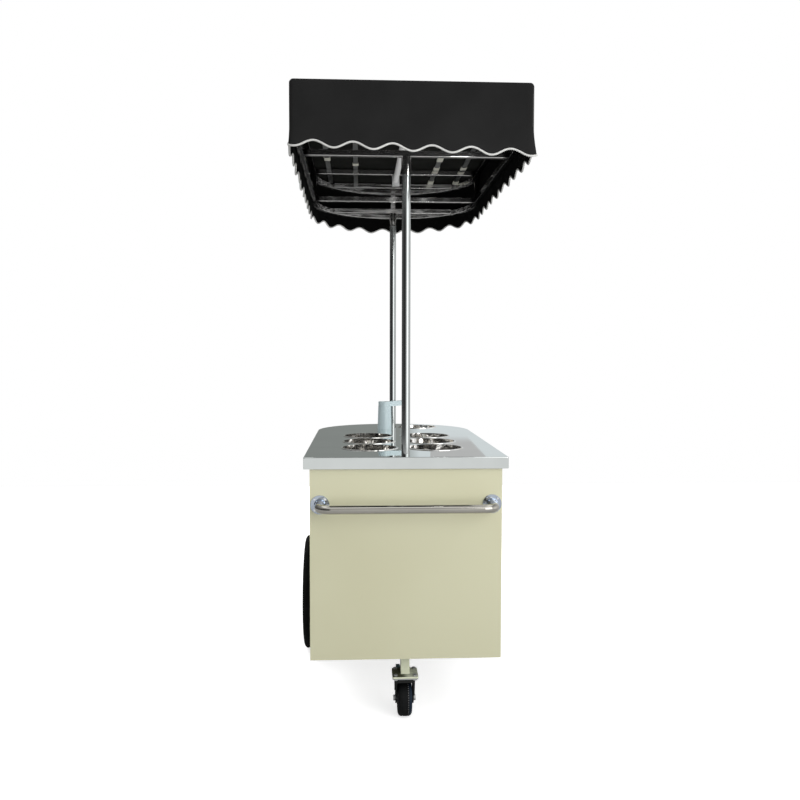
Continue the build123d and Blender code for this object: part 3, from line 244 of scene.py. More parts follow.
def polishedSteel(name, level, tint, rough, grain, marks):
    paint = Paint(name, Metallic=1.0)
    where = paint.place()
    lines = paint.noise(paint.stretch(where, grain), 1.0, 4.0)
    smear = paint.noise(where, 6.0)
    dull = shade(level * 0.93, tint)
    paint.set(Base_Color=paint.mix(paint.band(smear, 0.3, 0.7), dull, shade(level, tint)))
    paint.set(Roughness=rough + marks * paint.band(lines, 0.35, 0.75) + 0.5 * marks * smear)
    paint.bump(lines, 0.02, 0.0003)
    return paint


# canopy poles: polished, and brushed pale at the top where the sleeves clamp them
poleTop = {"brushFrom": 0.16, "brushFull": 0.02}


def poleSteel(name, level, tint):
    paint = Paint(name)
    where = paint.place()
    up = paint.split(where)[2]
    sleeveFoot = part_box("pole_sleeves")[0].z
    lines = paint.noise(paint.stretch(where, (300.0, 300.0, 12.0)), 1.0, 4.0)
    smear = paint.noise(where, 6.0)
    brushed = paint.band(up, sleeveFoot - poleTop["brushFrom"], sleeveFoot - poleTop["brushFull"])
    dull = shade(level * 0.93, tint)
    paint.set(Base_Color=paint.mix(paint.band(smear, 0.3, 0.7), dull, shade(level, tint)))
    paint.set(Metallic=1.0 - 0.24 * brushed)
    paint.set(Roughness=0.06 + 0.05 * paint.band(lines, 0.35, 0.75) + 0.025 * smear + 0.1 * brushed)
    paint.bump(lines, 0.02, 0.0003)
    return paint


# a spun pot or bowl: smooth outside and deep down, with soft dents inside along its rim
spun = {
    "wallFrom": 0.01, "wallFull": 0.03, "dentDepth": 0.085, "dentFull": 0.045,
    "stainLevel": 0.88, "stainTint": (1.0, 0.965, 0.90),
}


def spunSteel(name, level, tint, node):
    paint = Paint(name)
    low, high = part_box(node)
    axis = (low + high) / 2
    where = paint.place()
    across, along, up = paint.split(where)
    leanX, leanY = paint.lean()[:2]
    towardAxis = (axis.x - across) * leanX + (axis.y - along) * leanY
    inward = paint.band(towardAxis, spun["wallFrom"], spun["wallFull"])
    dented = inward * paint.band(up, high.z - spun["dentDepth"], high.z - spun["dentFull"])
    dents = paint.noise(paint.stretch(where, (34.0, 34.0, 20.0)), 1.0, 0.6)
    rings = paint.noise(paint.stretch(where, (14.0, 14.0, 520.0)), 1.0)
    clear = paint.band(paint.noise(where, 15.0), 0.36, 0.62)
    stained = shade(level * spun["stainLevel"], spun["stainTint"])
    paint.set(Base_Color=paint.mix(clear, stained, shade(level, tint)))
    paint.set(Metallic=0.94 + 0.06 * clear)
    paint.set(Roughness=0.05 + 0.07 * paint.noise(where, 9.0) + 0.03 * rings)
    paint.bump(dented * dents + 0.004 * rings, 1.0, 0.010)
    return paint


# canopy rails: bright and streaked round the nose, with painted shade darkening the steel along the two sides
rail = {
    "sideFrom": 0.300, "sideFull": 0.322, "sideFade": 0.06, "sideShadeLevel": 0.06,
    "streakFrom": 0.015, "streakFull": 0.045, "streakDull": 0.42,
}


def railSteel(name, level, tint):
    paint = Paint(name)
    where = paint.place()
    across, along = paint.split(where)[:2]
    outside = paint.band(across * across, rail["sideFrom"] ** 2, rail["sideFull"] ** 2)
    sides = outside * paint.band(along, coverChord, coverChord - rail["sideFade"])
    lines = paint.noise(paint.stretch(where, (60.0, 60.0, 260.0)), 1.0, 4.0)
    smear = paint.band(paint.noise(where, 8.0), 0.3, 0.7)
    bright = paint.mix(smear, shade(level * 0.88, tint), shade(level, tint))
    # painted shade: along the two sides the steel is darkened to a few per cent of its brightness
    paint.set(Base_Color=paint.mix(sides, bright, shade(level * rail["sideShadeLevel"], tint)))
    nose = paint.band(along, coverChord + rail["streakFrom"], coverChord + rail["streakFull"])
    streaks = paint.band(paint.noise(paint.stretch(where, (7.0, 40.0, 160.0)), 1.0), 0.36, 0.62)
    paint.set(Metallic=0.965 - rail["streakDull"] * nose * streaks)
    paint.set(Roughness=0.09 + 0.08 * paint.band(lines, 0.35, 0.75))
    paint.bump(lines, 0.03, 0.0004)
    return paint


# the caster's tread: black, with a painted bluish sheen on its right shoulder, and a row of small pips beside
# the groove
tread = {
    "pips": 48, "pipInner": 0.0095, "pipOuter": 0.0127, "pipFade": 0.0008, "pipLevel": 0.22,
    "blueSheenFrom": 0.010, "blueSheenFull": 0.019, "blueSheenLevel": 3.5, "blueSheenTint": (0.45, 0.95, 1.75),
    "dustLevel": 1.6, "tint": (0.92, 1.0, 1.06),
}


def casterTread(name, level):
    paint = Paint(name, Specular_IOR_Level=0.16)
    where = paint.place()
    across, along, up = paint.split(where)
    low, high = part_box("caster_tyre")
    axle = (low + high) / 2
    turn = paint.node("Math", {"operation": "ARCTAN2"}, {0: up - axle.z, 1: along - axle.y})
    beat = paint.node("Math", {"operation": "SINE"}, {0: turn * tread["pips"]})
    innerSide = paint.band(across, tread["pipInner"], tread["pipInner"] + tread["pipFade"])
    outerSide = paint.band(across, tread["pipOuter"], tread["pipOuter"] - tread["pipFade"])
    pips = innerSide * outerSide * paint.band(beat, 0.3, 0.7)
    # painted sheen: the right shoulder is made lighter and bluer
    blueSheen = paint.band(across, tread["blueSheenFrom"], tread["blueSheenFull"])
    dust = paint.band(paint.noise(where, 30.0, 4.0), 0.45, 0.75)
    dusty = shade(level * tread["dustLevel"], tread["tint"])
    plain = paint.mix(dust, shade(level, tread["tint"]), dusty)
    sheened = paint.mix(blueSheen, plain, shade(level * tread["blueSheenLevel"], tread["blueSheenTint"]))
    paint.set(Base_Color=paint.mix(pips, sheened, shade(tread["pipLevel"])))
    paint.set(Roughness=0.48 + 0.25 * paint.noise(where, 40.0))
    paint.bump(paint.noise(where, 420.0, 2.0) + 2.0 * pips, 0.15, 0.0006)
    return paint


# the caster's post: cream paint, with painted shade on top of its foot plate, darker on the left
foot = {
    "top": 0.1560, "shadeFade": 0.0015, "paleShadeSide": 0.012, "deepShadeSide": -0.010, "spotShare": 0.35,
    "paleShade": shade(0.62, (0.96, 1.0, 0.82)), "deepShade": shade(0.075, (0.97, 1.0, 0.58)),
    "spots": shade(0.12, (1.0, 0.98, 0.86)),
    "paint": shade(1.0, (0.74, 0.77, 0.58)), "palePaint": shade(1.0, (0.82, 0.85, 0.65)),
}


def postPaint(name):
    paint = Paint(name, Coat_Roughness=0.2, Specular_IOR_Level=0.2)
    where = paint.place()
    across, up = paint.split(where)[::2]
    facingUp = paint.lean()[2]
    # painted shade: the top of the foot plate is darkened, most on the left, with dark spots
    plateShade = paint.band(up, foot["top"] + foot["shadeFade"], foot["top"]) * paint.band(facingUp, 0.4, 0.8)
    spots = paint.noise(where, 90.0, 4.0)
    left = paint.band(across, foot["paleShadeSide"], foot["deepShadeSide"])
    smooth = paint.mix(left, foot["paleShade"], foot["deepShade"])
    spottedShade = paint.mix(foot["spotShare"] * paint.band(spots, 0.4, 0.75), smooth, foot["spots"])
    cloud = paint.band(paint.noise(where, 40.0), 0.35, 0.7)
    clean = paint.mix(cloud, foot["paint"], foot["palePaint"])
    paint.set(Base_Color=paint.mix(plateShade, clean, spottedShade))
    paint.set(Coat_Weight=0.15 - 0.15 * plateShade)
    paint.set(Roughness=0.34 + 0.35 * plateShade + 0.1 * paint.noise(where, 30.0))
    paint.bump(spots, 0.12, 0.0006)
    return paint


def rubber(name, level, gloss, rough):
    paint = Paint(name, Specular_IOR_Level=gloss)
    where = paint.place()
    dust = paint.band(paint.noise(where, 14.0, 4.0), 0.45, 0.75)
    paint.set(Base_Color=paint.mix(dust, shade(level), shade(level * 1.9)))
    paint.set(Roughness=rough + 0.25 * paint.noise(where, 30.0))
    paint.bump(paint.noise(where, 420.0, 2.0), 0.12, 0.0005)
    return paint


def mouldedPlastic(name, colour, rough, grain=0.05):
    paint = Paint(name)
    where = paint.place()
    cloud = paint.noise(where, 5.0, 2.0)
    paint.set(Base_Color=paint.mix(paint.band(cloud, 0.3, 0.7), shade(0.93, colour), shade(1.0, colour)))
    paint.set(Roughness=rough + 0.08 * paint.noise(where, 60.0))
    paint.bump(paint.noise(where, 700.0, 2.0), grain, 0.0003)
    return paint


def castMetal(name, level, tint, rough, metallic=1.0):
    paint = Paint(name, Metallic=metallic)
    where = paint.place()
    cloud = paint.band(paint.noise(where, 12.0, 4.0), 0.3, 0.7)
    paint.set(Base_Color=paint.mix(cloud, shade(level * 0.86, tint), shade(level, tint)))
    paint.set(Roughness=rough + 0.15 * paint.noise(where, 45.0))
    paint.bump(paint.noise(where, 320.0), 0.10, 0.0005)
    return paint


# canopy cloth: a fine weave, with painted shade darkening it inside along the valance
weave = {
    "threads": 5200.0, "roofFrom": 0.030, "roofFull": 0.012,
    "outer": (shade(0.0160), shade(0.0190)), "valanceInsideShade": shade(0.0035),
    "roofInside": (shade(0.010, (0.98, 1.0, 0.90)), shade(0.018, (0.97, 1.0, 0.90))),
}


def canopyWeave(name):
    paint = Paint(name, Specular_IOR_Level=0.02)
    flat = paint.place("UV")
    across, along = paint.split(flat)[:2]
    warp = paint.node("Math", {"operation": "SINE"}, {0: across * weave["threads"]})
    weft = paint.node("Math", {"operation": "SINE"}, {0: along * weave["threads"]})
    threads = warp * weft
    cloud = paint.band(paint.noise(flat, 7.0), 0.3, 0.7)
    crease = paint.noise(paint.stretch(flat, (9.0, 3.0, 1.0)), 1.0)
    inside = paint.node("Attribute", {"attribute_name": "lining"}, {}, output="Fac")
    outer = paint.mix(cloud, *weave["outer"])
    up = paint.split(paint.place())[2]
    roof = paint.band(up, coverTop - weave["roofFrom"], coverTop - weave["roofFull"])
    # painted shade: the inside of the valance is darker than the same cloth outside
    inner = paint.mix(roof, weave["valanceInsideShade"], paint.mix(cloud, *weave["roofInside"]))
    paint.set(Base_Color=paint.mix(inside, outer, inner))
    paint.set(Roughness=0.62 + 0.14 * paint.noise(flat, 120.0))
    paint.bump(crease * 6.0 + threads * 0.05, 0.22, 0.0012)
    return paint


# light tube: a row of dim lamps behind a white diffuser
lampRow = {
    "pitch": 0.017, "white": (shade(0.66), shade(0.88)), "glow": (shade(0.06), shade(0.20, (1.0, 1.0, 0.95))),
}


def lampDiffuser(name):
    paint = Paint(name, Emission_Strength=1.0)
    where = paint.place()
    along = paint.split(where)[1]
    beads = paint.node("Math", {"operation": "SINE"}, {0: along * 2 * pi / lampRow["pitch"]})
    lit = paint.band(beads, -0.2, 0.9)
    paint.set(Base_Color=paint.mix(lit, *lampRow["white"]))
    paint.set(Emission_Color=paint.mix(lit, *lampRow["glow"]))
    paint.set(Roughness=0.32 + 0.1 * paint.noise(where, 90.0))
    return paint


def foamCore(name):
    paint = Paint(name)
    where = paint.place()
    cells = paint.node("TexVoronoi", {}, {"Vector": where, "Scale": 380.0})
    paint.set(Base_Color=paint.mix(cells, (0.72, 0.62, 0.36, 1.0), (0.86, 0.78, 0.52, 1.0)))
    paint.set(Roughness=0.8 + 0.1 * paint.noise(where, 50.0))
    paint.bump(cells, 0.35, 0.001)
    return paint


# each finish: its name, then the brightness, tint, roughness, grain and marks that it takes
cream = creamPaint("creamPaint")
creamInside = creamPaint("creamFramePaint", 0.92)
postCream = postPaint("casterPostPaint")
worktop = polishedSteel("worktopSteel", 0.82, (0.955, 1.0, 0.985), 0.012, (3.0, 220.0, 220.0), 0.010)
poleChrome = poleSteel("poleSteel", 0.44, (0.95, 1.0, 0.99))
barChrome = polishedSteel("barChrome", 0.52, (1.0, 0.97, 0.88), 0.05, (12.0, 260.0, 260.0), 0.05)
flangeChrome = polishedSteel("flangeChrome", 0.65, (0.86, 0.96, 1.10), 0.07, (180.0, 180.0, 180.0), 0.05)
sleeveSteel = castMetal("sleeveSteel", 0.85, (1.0, 0.99, 0.97), 0.04, 0.97)
screwSteel = polishedSteel("screwSteel", 0.90, (0.96, 0.99, 1.03), 0.10, (90.0, 90.0, 90.0), 0.05)
roofBarSteel = castMetal("roofBarSteel", 0.20, (0.97, 1.0, 0.98), 0.34)
satinSteel = polishedSteel("satinSteel", 0.62, (1.0, 1.0, 1.0), 0.28, (9.0, 300.0, 300.0), 0.10)
zinc = castMetal("zincPlate", 0.62, (0.98, 1.0, 1.0), 0.24)
forkDark = castMetal("forkDark", 0.006, (0.80, 1.0, 1.02), 0.42, 0.2)
alloy = castMetal("wheelAlloy", 0.66, (1.0, 1.0, 0.98), 0.30)
tyreBlack = rubber("tyreBlack", 0.008, gloss=0.10, rough=0.66)
casterRubber = casterTread("casterTread", 0.0055)
canopySteel = railSteel("railSteel", 0.86, (1.0, 0.99, 0.975))
casterCore = mouldedPlastic("casterCore", (0.05, 0.05, 0.055), 0.4, 0.12)
tapWhite = mouldedPlastic("tapWhite", (0.61, 0.735, 0.765), 0.22, 0.03)
holderWhite = mouldedPlastic("holderWhite", (0.70, 0.71, 0.71), 0.35)
pedalTeal = mouldedPlastic("pedalTeal", (0.035, 0.085, 0.095), 0.38, 0.15)
bottleWhite = mouldedPlastic("bottleWhite", (0.74, 0.78, 0.79), 0.35, 0.06)
machineGrey = mouldedPlastic("machineGrey", (0.07, 0.075, 0.08), 0.42, 0.12)
plateBlue = mouldedPlastic("plateBlue", (0.16, 0.27, 0.42), 0.38, 0.08)
cloth = canopyWeave("canopyWeave")
lamp = lampDiffuser("lampDiffuser")
foam = foamCore("foamCore")
pipingWhite = mouldedPlastic("pipingWhite", (0.62, 0.62, 0.60), 0.55, 0.10)
strapPale = mouldedPlastic("strapPale", (0.86, 0.85, 0.74), 0.6, 0.20)

finishes = {
    cream: ["rear_panel", "side_panel_left", "side_panel_right", "front_panel", "service_door"],
    postCream: ["caster_post"],
    creamInside: ["base_frame", "body_frame"],
    worktop: ["counter_top"],
    poleChrome: ["rear_pole", "front_pole"],
    canopySteel: ["canopy_lower_rail", "canopy_upper_rail", "canopy_posts", "canopy_crossbars"],
    sleeveSteel: ["pole_sleeves"],
    roofBarSteel: ["roof_bars"],
    barChrome: ["handle_bar", "door_knob"],
    flangeChrome: ["handle_flanges", "sink_drain"],
    satinSteel: ["floor_pan", "cold_well", "pole_sockets", "axle_clamps", "door_hinges"],
    screwSteel: ["handle_screws"],
    zinc: ["axle_bar", "axle_nuts", "caster_plate", "caster_bolts", "kingpin", "caster_axle"]
    + ["wheel_bearings_left", "wheel_bearings_right"],
    forkDark: ["caster_fork"],
    alloy: ["wheel_left", "wheel_right"],
    tyreBlack: ["tyre_left", "tyre_right"],
    casterRubber: ["caster_tyre"],
    casterCore: ["caster_hub"],
    tapWhite: ["tap_body", "tap_spout"],
    holderWhite: ["led_holders"],
    lamp: ["led_tube"],
    pedalTeal: ["brake_pedal"],
    bottleWhite: ["water_bottles"],
    machineGrey: ["water_pump", "battery"],
    plateBlue: ["cold_plates"],
    foam: ["well_insulation"],
}
spunNodes = ["pot_%d" % number for number in range(1, 7)] + ["sink_basin"]
for name in spunNodes:
    finishes[spunSteel(name + "Steel", 0.98, (1.0, 0.995, 0.985), name)] = [name]
for paint, names in finishes.items():
    for name in names:
        dress(nodes[name], paint)
print("finishes on", sum(len(names) for names in finishes.values()), "nodes")


# canopy cover: one sewn sheet over the rails, with its wavy hem
cover = {
    "columnsPerWave": 16, "nearWaves": 6.25, "sideWaves": 10, "noseWaves": 10, "cornerPhase": 0.125,
    "cornerRadius": 0.012, "edgeRadius": 0.011, "setBack": 0.0012, "thickness": 0.0012,
    "hemRise": 0.019, "hemLift": 0.0045, "valanceRows": 16, "edgeRows": 5, "roofRings": 16,
    "flare": 0.006, "ripple": 0.0022, "middleSag": 0.007, "sideSag": 0.0025,
    "longRipple": 0.222, "longStart": 0.6, "shortRipple": 0.171, "shortStart": 2.0, "shortShare": 0.6,
    "leftRise": 0.007, "rightDrop": 0.014, "dropFade": 0.9, "tipDrop": 0.010,
    "welt": 0.008, "weltFade": 0.09, "sagAtBars": 0.3, "mergeWithin": 0.00005,
    "barInner": 0.165, "barOuter": 0.275, "crossbarRows": (-0.480, 0.2955, 0.5685),
}
lowerRailMiddle = sum(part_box("canopy_lower_rail")[end].z for end in (0, 1)) / 2
barRows = [coverNear, *cover["crossbarRows"], coverHigh.y]


def outline():
    points = []
    travel = 0.0
    straight = coverChord - coverNear
    start = cover["cornerPhase"]
    lastWaves = cover["sideWaves"] - 2 * start
    runs = [
        (-start, cover["nearWaves"], 2 * coverHalf, lambda t: ((2 * t - 1) * coverHalf, coverNear, 0, -1)),
        (start, cover["sideWaves"], straight, lambda t: (coverHalf, coverNear + t * straight, 1, 0)),
        (start, cover["noseWaves"], pi * coverHalf, lambda t: noseAt(pi * t)),
        (start, lastWaves, straight, lambda t: (-coverHalf, coverChord - t * straight, -1, 0)),
    ]
    for first, waves, length, at in runs:
        count = round(waves * cover["columnsPerWave"])
        for step in range(count):
            x, y, outX, outY = at(step / count)
            phase = (first + waves * step / count) % 1.0
            points.append((roundCorner(x, y, outX, outY), phase, travel + length * step / count))
        travel += length
    return points


def noseAt(turn):
    return (coverHalf * cos(turn), coverChord + coverHalf * sin(turn), cos(turn), sin(turn))


# the two near corners turn on a small radius
def roundCorner(x, y, outX, outY):
    radius = cover["cornerRadius"]
    centreX = (coverHalf - radius) * (1 if x > 0 else -1)
    centreY = coverNear + radius
    if abs(x) > coverHalf - radius and y < centreY:
        away = Vector((x - centreX, y - centreY, 0)).normalized()
        return Vector((centreX, centreY, 0)) + away * radius, away
    return Vector((x, y, 0)), Vector((outX, outY, 0))


def roofSag(x, y):
    spread = 0.0
    for start, end in zip(barRows, barRows[1:]):
        if start <= y <= end:
            between = sin(pi * (y - start) / (end - start)) ** 2
            spread = cover["sagAtBars"] + (1 - cover["sagAtBars"]) * between
    if abs(x) < cover["barInner"]:
        return cover["middleSag"] * spread * (1 - (x / cover["barInner"]) ** 2)
    middle = (cover["barInner"] + cover["barOuter"]) / 2
    reach = (cover["barOuter"] - cover["barInner"]) / 2
    return cover["sideSag"] * spread * max(0.0, 1 - ((abs(x) - middle) / reach) ** 2)


# the cover sits a little crooked: its near hem is lower on the right, and the slope fades along the sides
def hemSlope(x, y):
    across = (x / coverHalf + 1) / 2
    near = max(0.0, 1 - (y - coverNear) / cover["dropFade"])
    tip = min(1.0, max(0.0, (y - coverChord) / coverHalf))
    slope = cover["leftRise"] - (cover["leftRise"] + cover["rightDrop"]) * across
    return near**2 * slope - tip * cover["tipDrop"]


# the near edge of the roof stands up a little, on the welt of its seam
def weltRise(y):
    near = max(0.0, 1 - (y - coverNear) / cover["weltFade"])
    return cover["welt"] * near**2


def hemHeight(phase, corner):
    wave = cover["hemRise"] * (0.5 - 0.5 * cos(2 * pi * phase))
    return coverLow.z + cover["hemLift"] + wave + hemSlope(corner.x, corner.y)


def hangOut(height, travel):
    free = min(1.0, max(0.0, (lowerRailMiddle - height) / (lowerRailMiddle - coverLow.z)))
    longWave = sin(travel * 2 * pi / cover["longRipple"] + cover["longStart"])
    shortWave = sin(travel * 2 * pi / cover["shortRipple"] + cover["shortStart"])
    wave = longWave + cover["shortShare"] * shortWave
    return free**1.5 * (cover["flare"] + cover["ripple"] * wave) - cover["setBack"]


columns = outline()
coverPoints, coverFlat, hemRow = [], [], []
rowTotal = cover["valanceRows"] + cover["edgeRows"] + cover["roofRings"] + 1
edgeBase = coverTop - cover["edgeRadius"]
for (corner, outward), phase, travel in columns:
    hem = hemHeight(phase, corner)
    hemRow.append(corner + outward * hangOut(hem, travel) + Vector((0, 0, hem)))
    for row in range(cover["valanceRows"]):
        height = hem + (edgeBase + weltRise(corner.y) - hem) * row / cover["valanceRows"]
        coverPoints.append(corner + outward * hangOut(height, travel) + Vector((0, 0, height)))
        coverFlat.append((travel, height))
    for row in range(cover["edgeRows"]):
        turn = pi / 2 * row / cover["edgeRows"]
        inset = cover["setBack"] + cover["edgeRadius"] * (1 - cos(turn))
        height = edgeBase + cover["edgeRadius"] * sin(turn)
        coverPoints.append(corner - outward * inset + Vector((0, 0, height + weltRise(corner.y))))
        coverFlat.append((travel, height))
    edge = corner - outward * (cover["setBack"] + cover["edgeRadius"])
    spine = Vector((0, min(max(edge.y, coverNear + coverHalf), coverChord), 0))
    for ring in range(cover["roofRings"] + 1):
        place = edge.lerp(spine, ring / cover["roofRings"])
        coverPoints.append(place + Vector((0, 0, coverTop + weltRise(place.y) - roofSag(place.x, place.y))))
        coverFlat.append((place.x, place.y))
coverFaces = []
for column in range(len(columns)):
    here, there = column * rowTotal, (column + 1) % len(columns) * rowTotal
    for row in range(rowTotal - 1):
        coverFaces.append((here + row, there + row, there + row + 1, here + row + 1))
coverMesh = bpy.data.meshes.new("canopyCover")
coverMesh.from_pydata([tuple(point) for point in coverPoints], [], coverFaces)
flatMap = coverMesh.uv_layers.new(name="UVMap")
for loop in coverMesh.loops:
    flatMap.data[loop.index].uv = coverFlat[loop.vertex_index]
canopyCover = bpy.data.objects.new("canopyCover", coverMesh)
scene.collection.objects.link(canopyCover)
pickOnly(canopyCover)
bpy.ops.object.mode_set(mode="EDIT")
bpy.ops.mesh.select_all(action="SELECT")
bpy.ops.mesh.remove_doubles(threshold=cover["mergeWithin"])
bpy.ops.mesh.normals_make_consistent(inside=False)
bpy.ops.object.mode_set(mode="OBJECT")
sideCount = len(canopyCover.data.polygons)
addModifier(canopyCover, "clothThickness", "SOLIDIFY", thickness=cover["thickness"], offset=-1.0)
lining = canopyCover.data.attributes.new("lining", "FLOAT", "FACE")
for face in canopyCover.data.polygons:
    lining.data[face.index].value = float(sideCount <= face.index < 2 * sideCount)
bpy.ops.object.shade_smooth_by_angle(angle=radians(50))
canopyCover = newPiece("canopyCover", cloth, "cart")
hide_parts("canopy_fabric")
print("canopy cover:", len(canopyCover.data.polygons), "faces")

# piping sewn along the hem
piping = {"radius": 0.0029, "sides": 3}
pipingLine = bpy.data.curves.new("hemPiping", "CURVE")
pipingLine.dimensions = "3D"
pipingLine.bevel_depth = piping["radius"]
pipingLine.bevel_resolution = piping["sides"]
pipingRun = pipingLine.splines.new("POLY")
pipingRun.points.add(len(hemRow) - 1)
for point, place in zip(pipingRun.points, hemRow):
    point.co = (*place, 1.0)
pipingRun.use_cyclic_u = True
hemPiping = bpy.data.objects.new("hemPiping", pipingLine)
scene.collection.objects.link(hemPiping)
pickOnly(hemPiping)
bpy.ops.object.convert(target="MESH")
bpy.ops.object.shade_smooth()
hemPiping = newPiece("hemPiping", pipingWhite, "cart")

# pale straps that tie the cover to the roof bars
strap = {
    "wall": 0.0011, "slack": 0.0016, "bevel": 0.0016, "barWidth": 0.018,
    "innerRight": ((0.092, 0.075), (0.257, 0.044), (0.524, 0.062)),  # place along the cart, and length
    "outerRight": ((0.247, 0.044), (0.522, 0.054)),
    "innerLeft": ((0.195, 0.035),),
    "outerLeft": ((0.110, 0.045),),
}
barLow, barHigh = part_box("roof_bars")


def addStrap(name, x, y, length):
    pickNothing()
    around = strap["slack"] + strap["wall"]
    bpy.ops.mesh.primitive_cube_add(size=1.0, location=(x, y, (barLow.z - around + barHigh.z) / 2))
    piece = bpy.context.object
    piece.scale = (strap["barWidth"] + 2 * around, length, barHigh.z - barLow.z + around)
    settle(piece)
    pickEdges(piece, lambda a, b: abs(a.y - b.y) > length / 2 and a.z < barLow.z)
    bpy.ops.mesh.bevel(offset=strap["bevel"], segments=3, affect="EDGES")
    pickFaces(piece, lambda face: abs(face.normal.y) > 0.9 or face.normal.z > 0.9)
    bpy.ops.mesh.delete(type="FACE")
    bpy.ops.object.mode_set(mode="OBJECT")
    addModifier(piece, "strapWall", "SOLIDIFY", thickness=strap["wall"], offset=-1.0)
    bpy.ops.object.shade_smooth_by_angle(angle=radians(40))
    return newPiece(name, strapPale, "cart")


strapNumber = 0
strapRuns = {
    "innerRight": cover["barInner"], "outerRight": cover["barOuter"],
    "innerLeft": -cover["barInner"], "outerLeft": -cover["barOuter"],
}  # where each run lies across the cart
for run, barX in strapRuns.items():
    for rowY, length in strap[run]:
        strapNumber += 1
        addStrap("roofStrap_%02d" % strapNumber, barX, rowY, length)
print("roof straps:", strapNumber)


# floor, light and camera
studio = {
    "floorSize": 9.0, "floorShown": 0.93, "floorBounce": 0.32, "floorMirrored": 0.52, "floorGlow": 0.64,
    "backdrop": 1.0, "ceiling": 0.42, "ceilingLamps": 0.85, "sill": 0.78, "lowDark": 0.06, "wedge": 0.50,
    "ceilingEdge": (0.25, 0.70), "lampsFrom": (0.72, 0.82), "lampsTo": (0.97, 0.92),
    "sillEdge": (-0.100, -0.115), "darkEdge": (-0.192, -0.208), "northEdge": (0.5, 0.8),
    "wedgeStart": 0.9943, "wedgeLean": 0.157, "wedgeEnd": 0.9862, "wedgeFoot": (0.094, 0.104),
}
pickNothing()
bpy.ops.mesh.primitive_plane_add(size=studio["floorSize"], location=(0, 0, 0))
floor = bpy.context.object
floor.name = "studioFloor"
floorPaint = Paint("studioFloor", Roughness=0.7, Emission_Strength=1.0)
floorSeen = floorPaint.node("LightPath", {}, {}, output="Is Camera Ray")
floorInGloss = floorPaint.node("LightPath", {}, {}, output="Is Glossy Ray")
floorUnseen = floorPaint.mix(floorInGloss, shade(studio["floorBounce"]), shade(studio["floorMirrored"]))
floorTone = floorPaint.mix(floorSeen, floorUnseen, shade(studio["floorShown"]))
floorPaint.set(Base_Color=floorTone)
floorPaint.set(Emission_Color=floorPaint.mix(floorSeen, shade(0.0), shade(studio["floorGlow"])))
dress(floor, floorPaint)

# the room round the object, by compass turn from north through west, south and east
world = bpy.data.worlds.new("studioWorld")
world.use_nodes = True
scene.world = world
sky = Paint("studioWorld", tree=world.node_tree)
background = world.node_tree.nodes["Background"]
east, north, up = sky.split(sky.place("Generated"))
heading = sky.node("Math", {"operation": "ARCTAN2"}, {0: east, 1: -1 * north})
turn = heading / (2 * pi) + 0.5
northWall = shade(0.262, (0.94, 1.0, 0.96))
room = sky.node(
    "ValToRGB",
    {
        "stops": [
            (0.000, northWall), (0.150, shade(0.13)), (0.267, shade(0.11)), (0.356, shade(0.05)),
            (0.428, shade(0.065)), (0.461, shade(0.08)), (0.481, shade(0.60)), (0.500, shade(0.67)),
            (0.572, shade(1.10)), (0.644, shade(0.60)), (0.733, shade(1.10)), (0.850, shade(0.70)),
            (0.9885, shade(0.72, (0.93, 1.0, 1.02))), (0.9905, northWall), (1.000, northWall),
        ],
    },
    {"Fac": turn},
)
wedge = (turn > studio["wedgeStart"] - studio["wedgeLean"] * up) * (turn < studio["wedgeEnd"])
dimmed = sky.mix(wedge * sky.band(up, *studio["wedgeFoot"]), room, shade(studio["wedge"]))
lamps = sky.band(up, *studio["lampsFrom"]) * sky.band(up, *studio["lampsTo"])
ceiling = studio["ceiling"] + studio["ceilingLamps"] * lamps
upper = sky.mix(sky.band(up, *studio["ceilingEdge"]), dimmed, ceiling)
sillTone = sky.mix(sky.band(north, *studio["northEdge"]), shade(studio["sill"]), shade(studio["lowDark"]))
aboveDark = sky.mix(sky.band(up, *studio["sillEdge"]), upper, sillTone)
walls = sky.mix(sky.band(up, *studio["darkEdge"]), aboveDark, shade(studio["lowDark"]))
seen = sky.node("LightPath", {}, {}, output="Is Camera Ray")
sky.feed(background.inputs["Color"], sky.mix(seen, walls, shade(studio["backdrop"])))

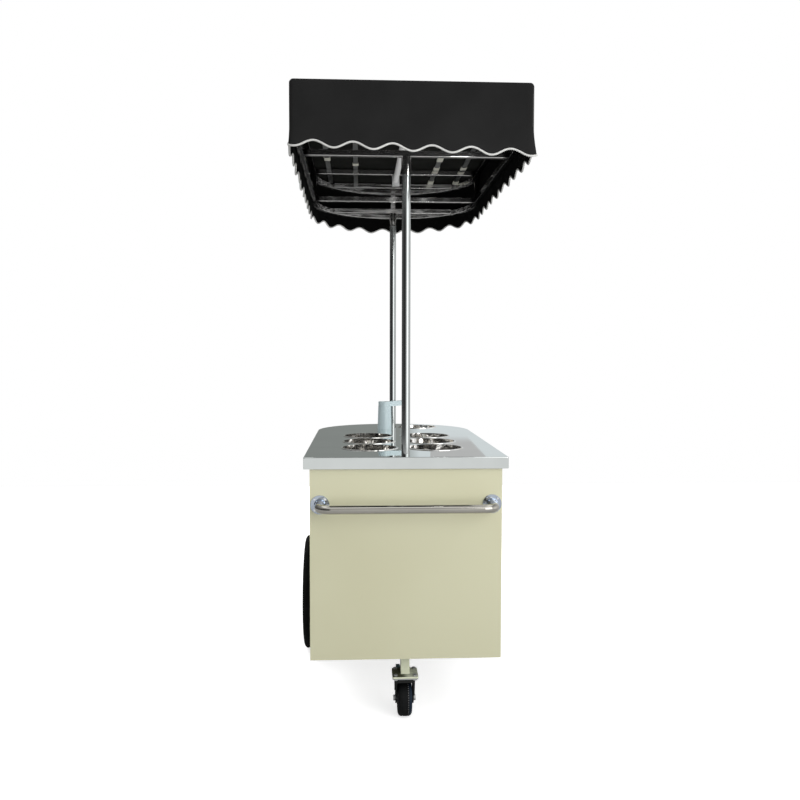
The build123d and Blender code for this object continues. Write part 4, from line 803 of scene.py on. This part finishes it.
# soft lights, of which only those marked mirrored show in the steel
softLights = {
    "keyBox": {
        "kind": "AREA", "place": (1.6, -2.4, 1.6), "aim": (0, -0.4, 0.7), "size": 2.2, "power": 25.0,
        "mirrored": True,
    },
    "keyFront": {
        "kind": "SUN", "place": (1.8, -3.2, 0.2), "aim": (0, 0, 0), "size": radians(60), "power": 1.11,
    },
    "fillUnder": {
        "kind": "AREA", "place": (0.25, -1.45, 1.0), "aim": (0, 0.05, 1.92), "size": 0.5, "power": 0.75,
        "spread": 55,
    },
    "canopyStrip": {
        "kind": "AREA", "place": (0.20, -0.735, 1.83), "aim": (0, -0.47, 1.80), "size": 0.07, "power": 0.20,
        "mirrored": True,
    },
    "fillBehind": {
        "kind": "SUN", "place": (-2.5, 2.0, 2.5), "aim": (0, 0, 0), "size": radians(60), "power": 0.88,
    },
}
for name, soft in softLights.items():
    light = bpy.data.lights.new(name, soft["kind"])
    light.energy = soft["power"]
    if soft["kind"] == "SUN":
        light.angle = soft["size"]
    else:
        light.size = soft["size"]
        light.spread = radians(soft.get("spread", 180))
    holder = bpy.data.objects.new(name, light)
    scene.collection.objects.link(holder)
    holder.location = soft["place"]
    holder.rotation_mode = "QUATERNION"
    holder.rotation_quaternion = (Vector(soft["aim"]) - Vector(soft["place"])).to_track_quat("-Z", "Y")
    holder.visible_glossy = soft.get("mirrored", False)
    holder.visible_camera = False

view = {
    "place": (-0.1522, -3.1560, 1.2067), "yaw": 0.0497, "pitch": 0.0527, "roll": 0.0019,
    "lens": 37.18, "sensor": 36.0, "reach": 200.0,
}
levelShare = cos(view["pitch"])
ahead = Vector((sin(view["yaw"]) * levelShare, cos(view["yaw"]) * levelShare, -sin(view["pitch"])))
side = Vector((cos(view["yaw"]), -sin(view["yaw"]), 0))
above = side.cross(ahead)
right = side * cos(view["roll"]) + above * sin(view["roll"])
top = above * cos(view["roll"]) - side * sin(view["roll"])
camera = bpy.data.objects.new("photoCamera", bpy.data.cameras.new("photoCamera"))
camera.data.lens = view["lens"]
camera.data.sensor_width = view["sensor"]
camera.data.clip_end = view["reach"]
scene.collection.objects.link(camera)
turned = Matrix((right, top, -ahead)).transposed().to_4x4()
camera.matrix_world = Matrix.Translation(view["place"]) @ turned
scene.camera = camera
scene.view_settings.view_transform = "Standard"
print("camera and light set")
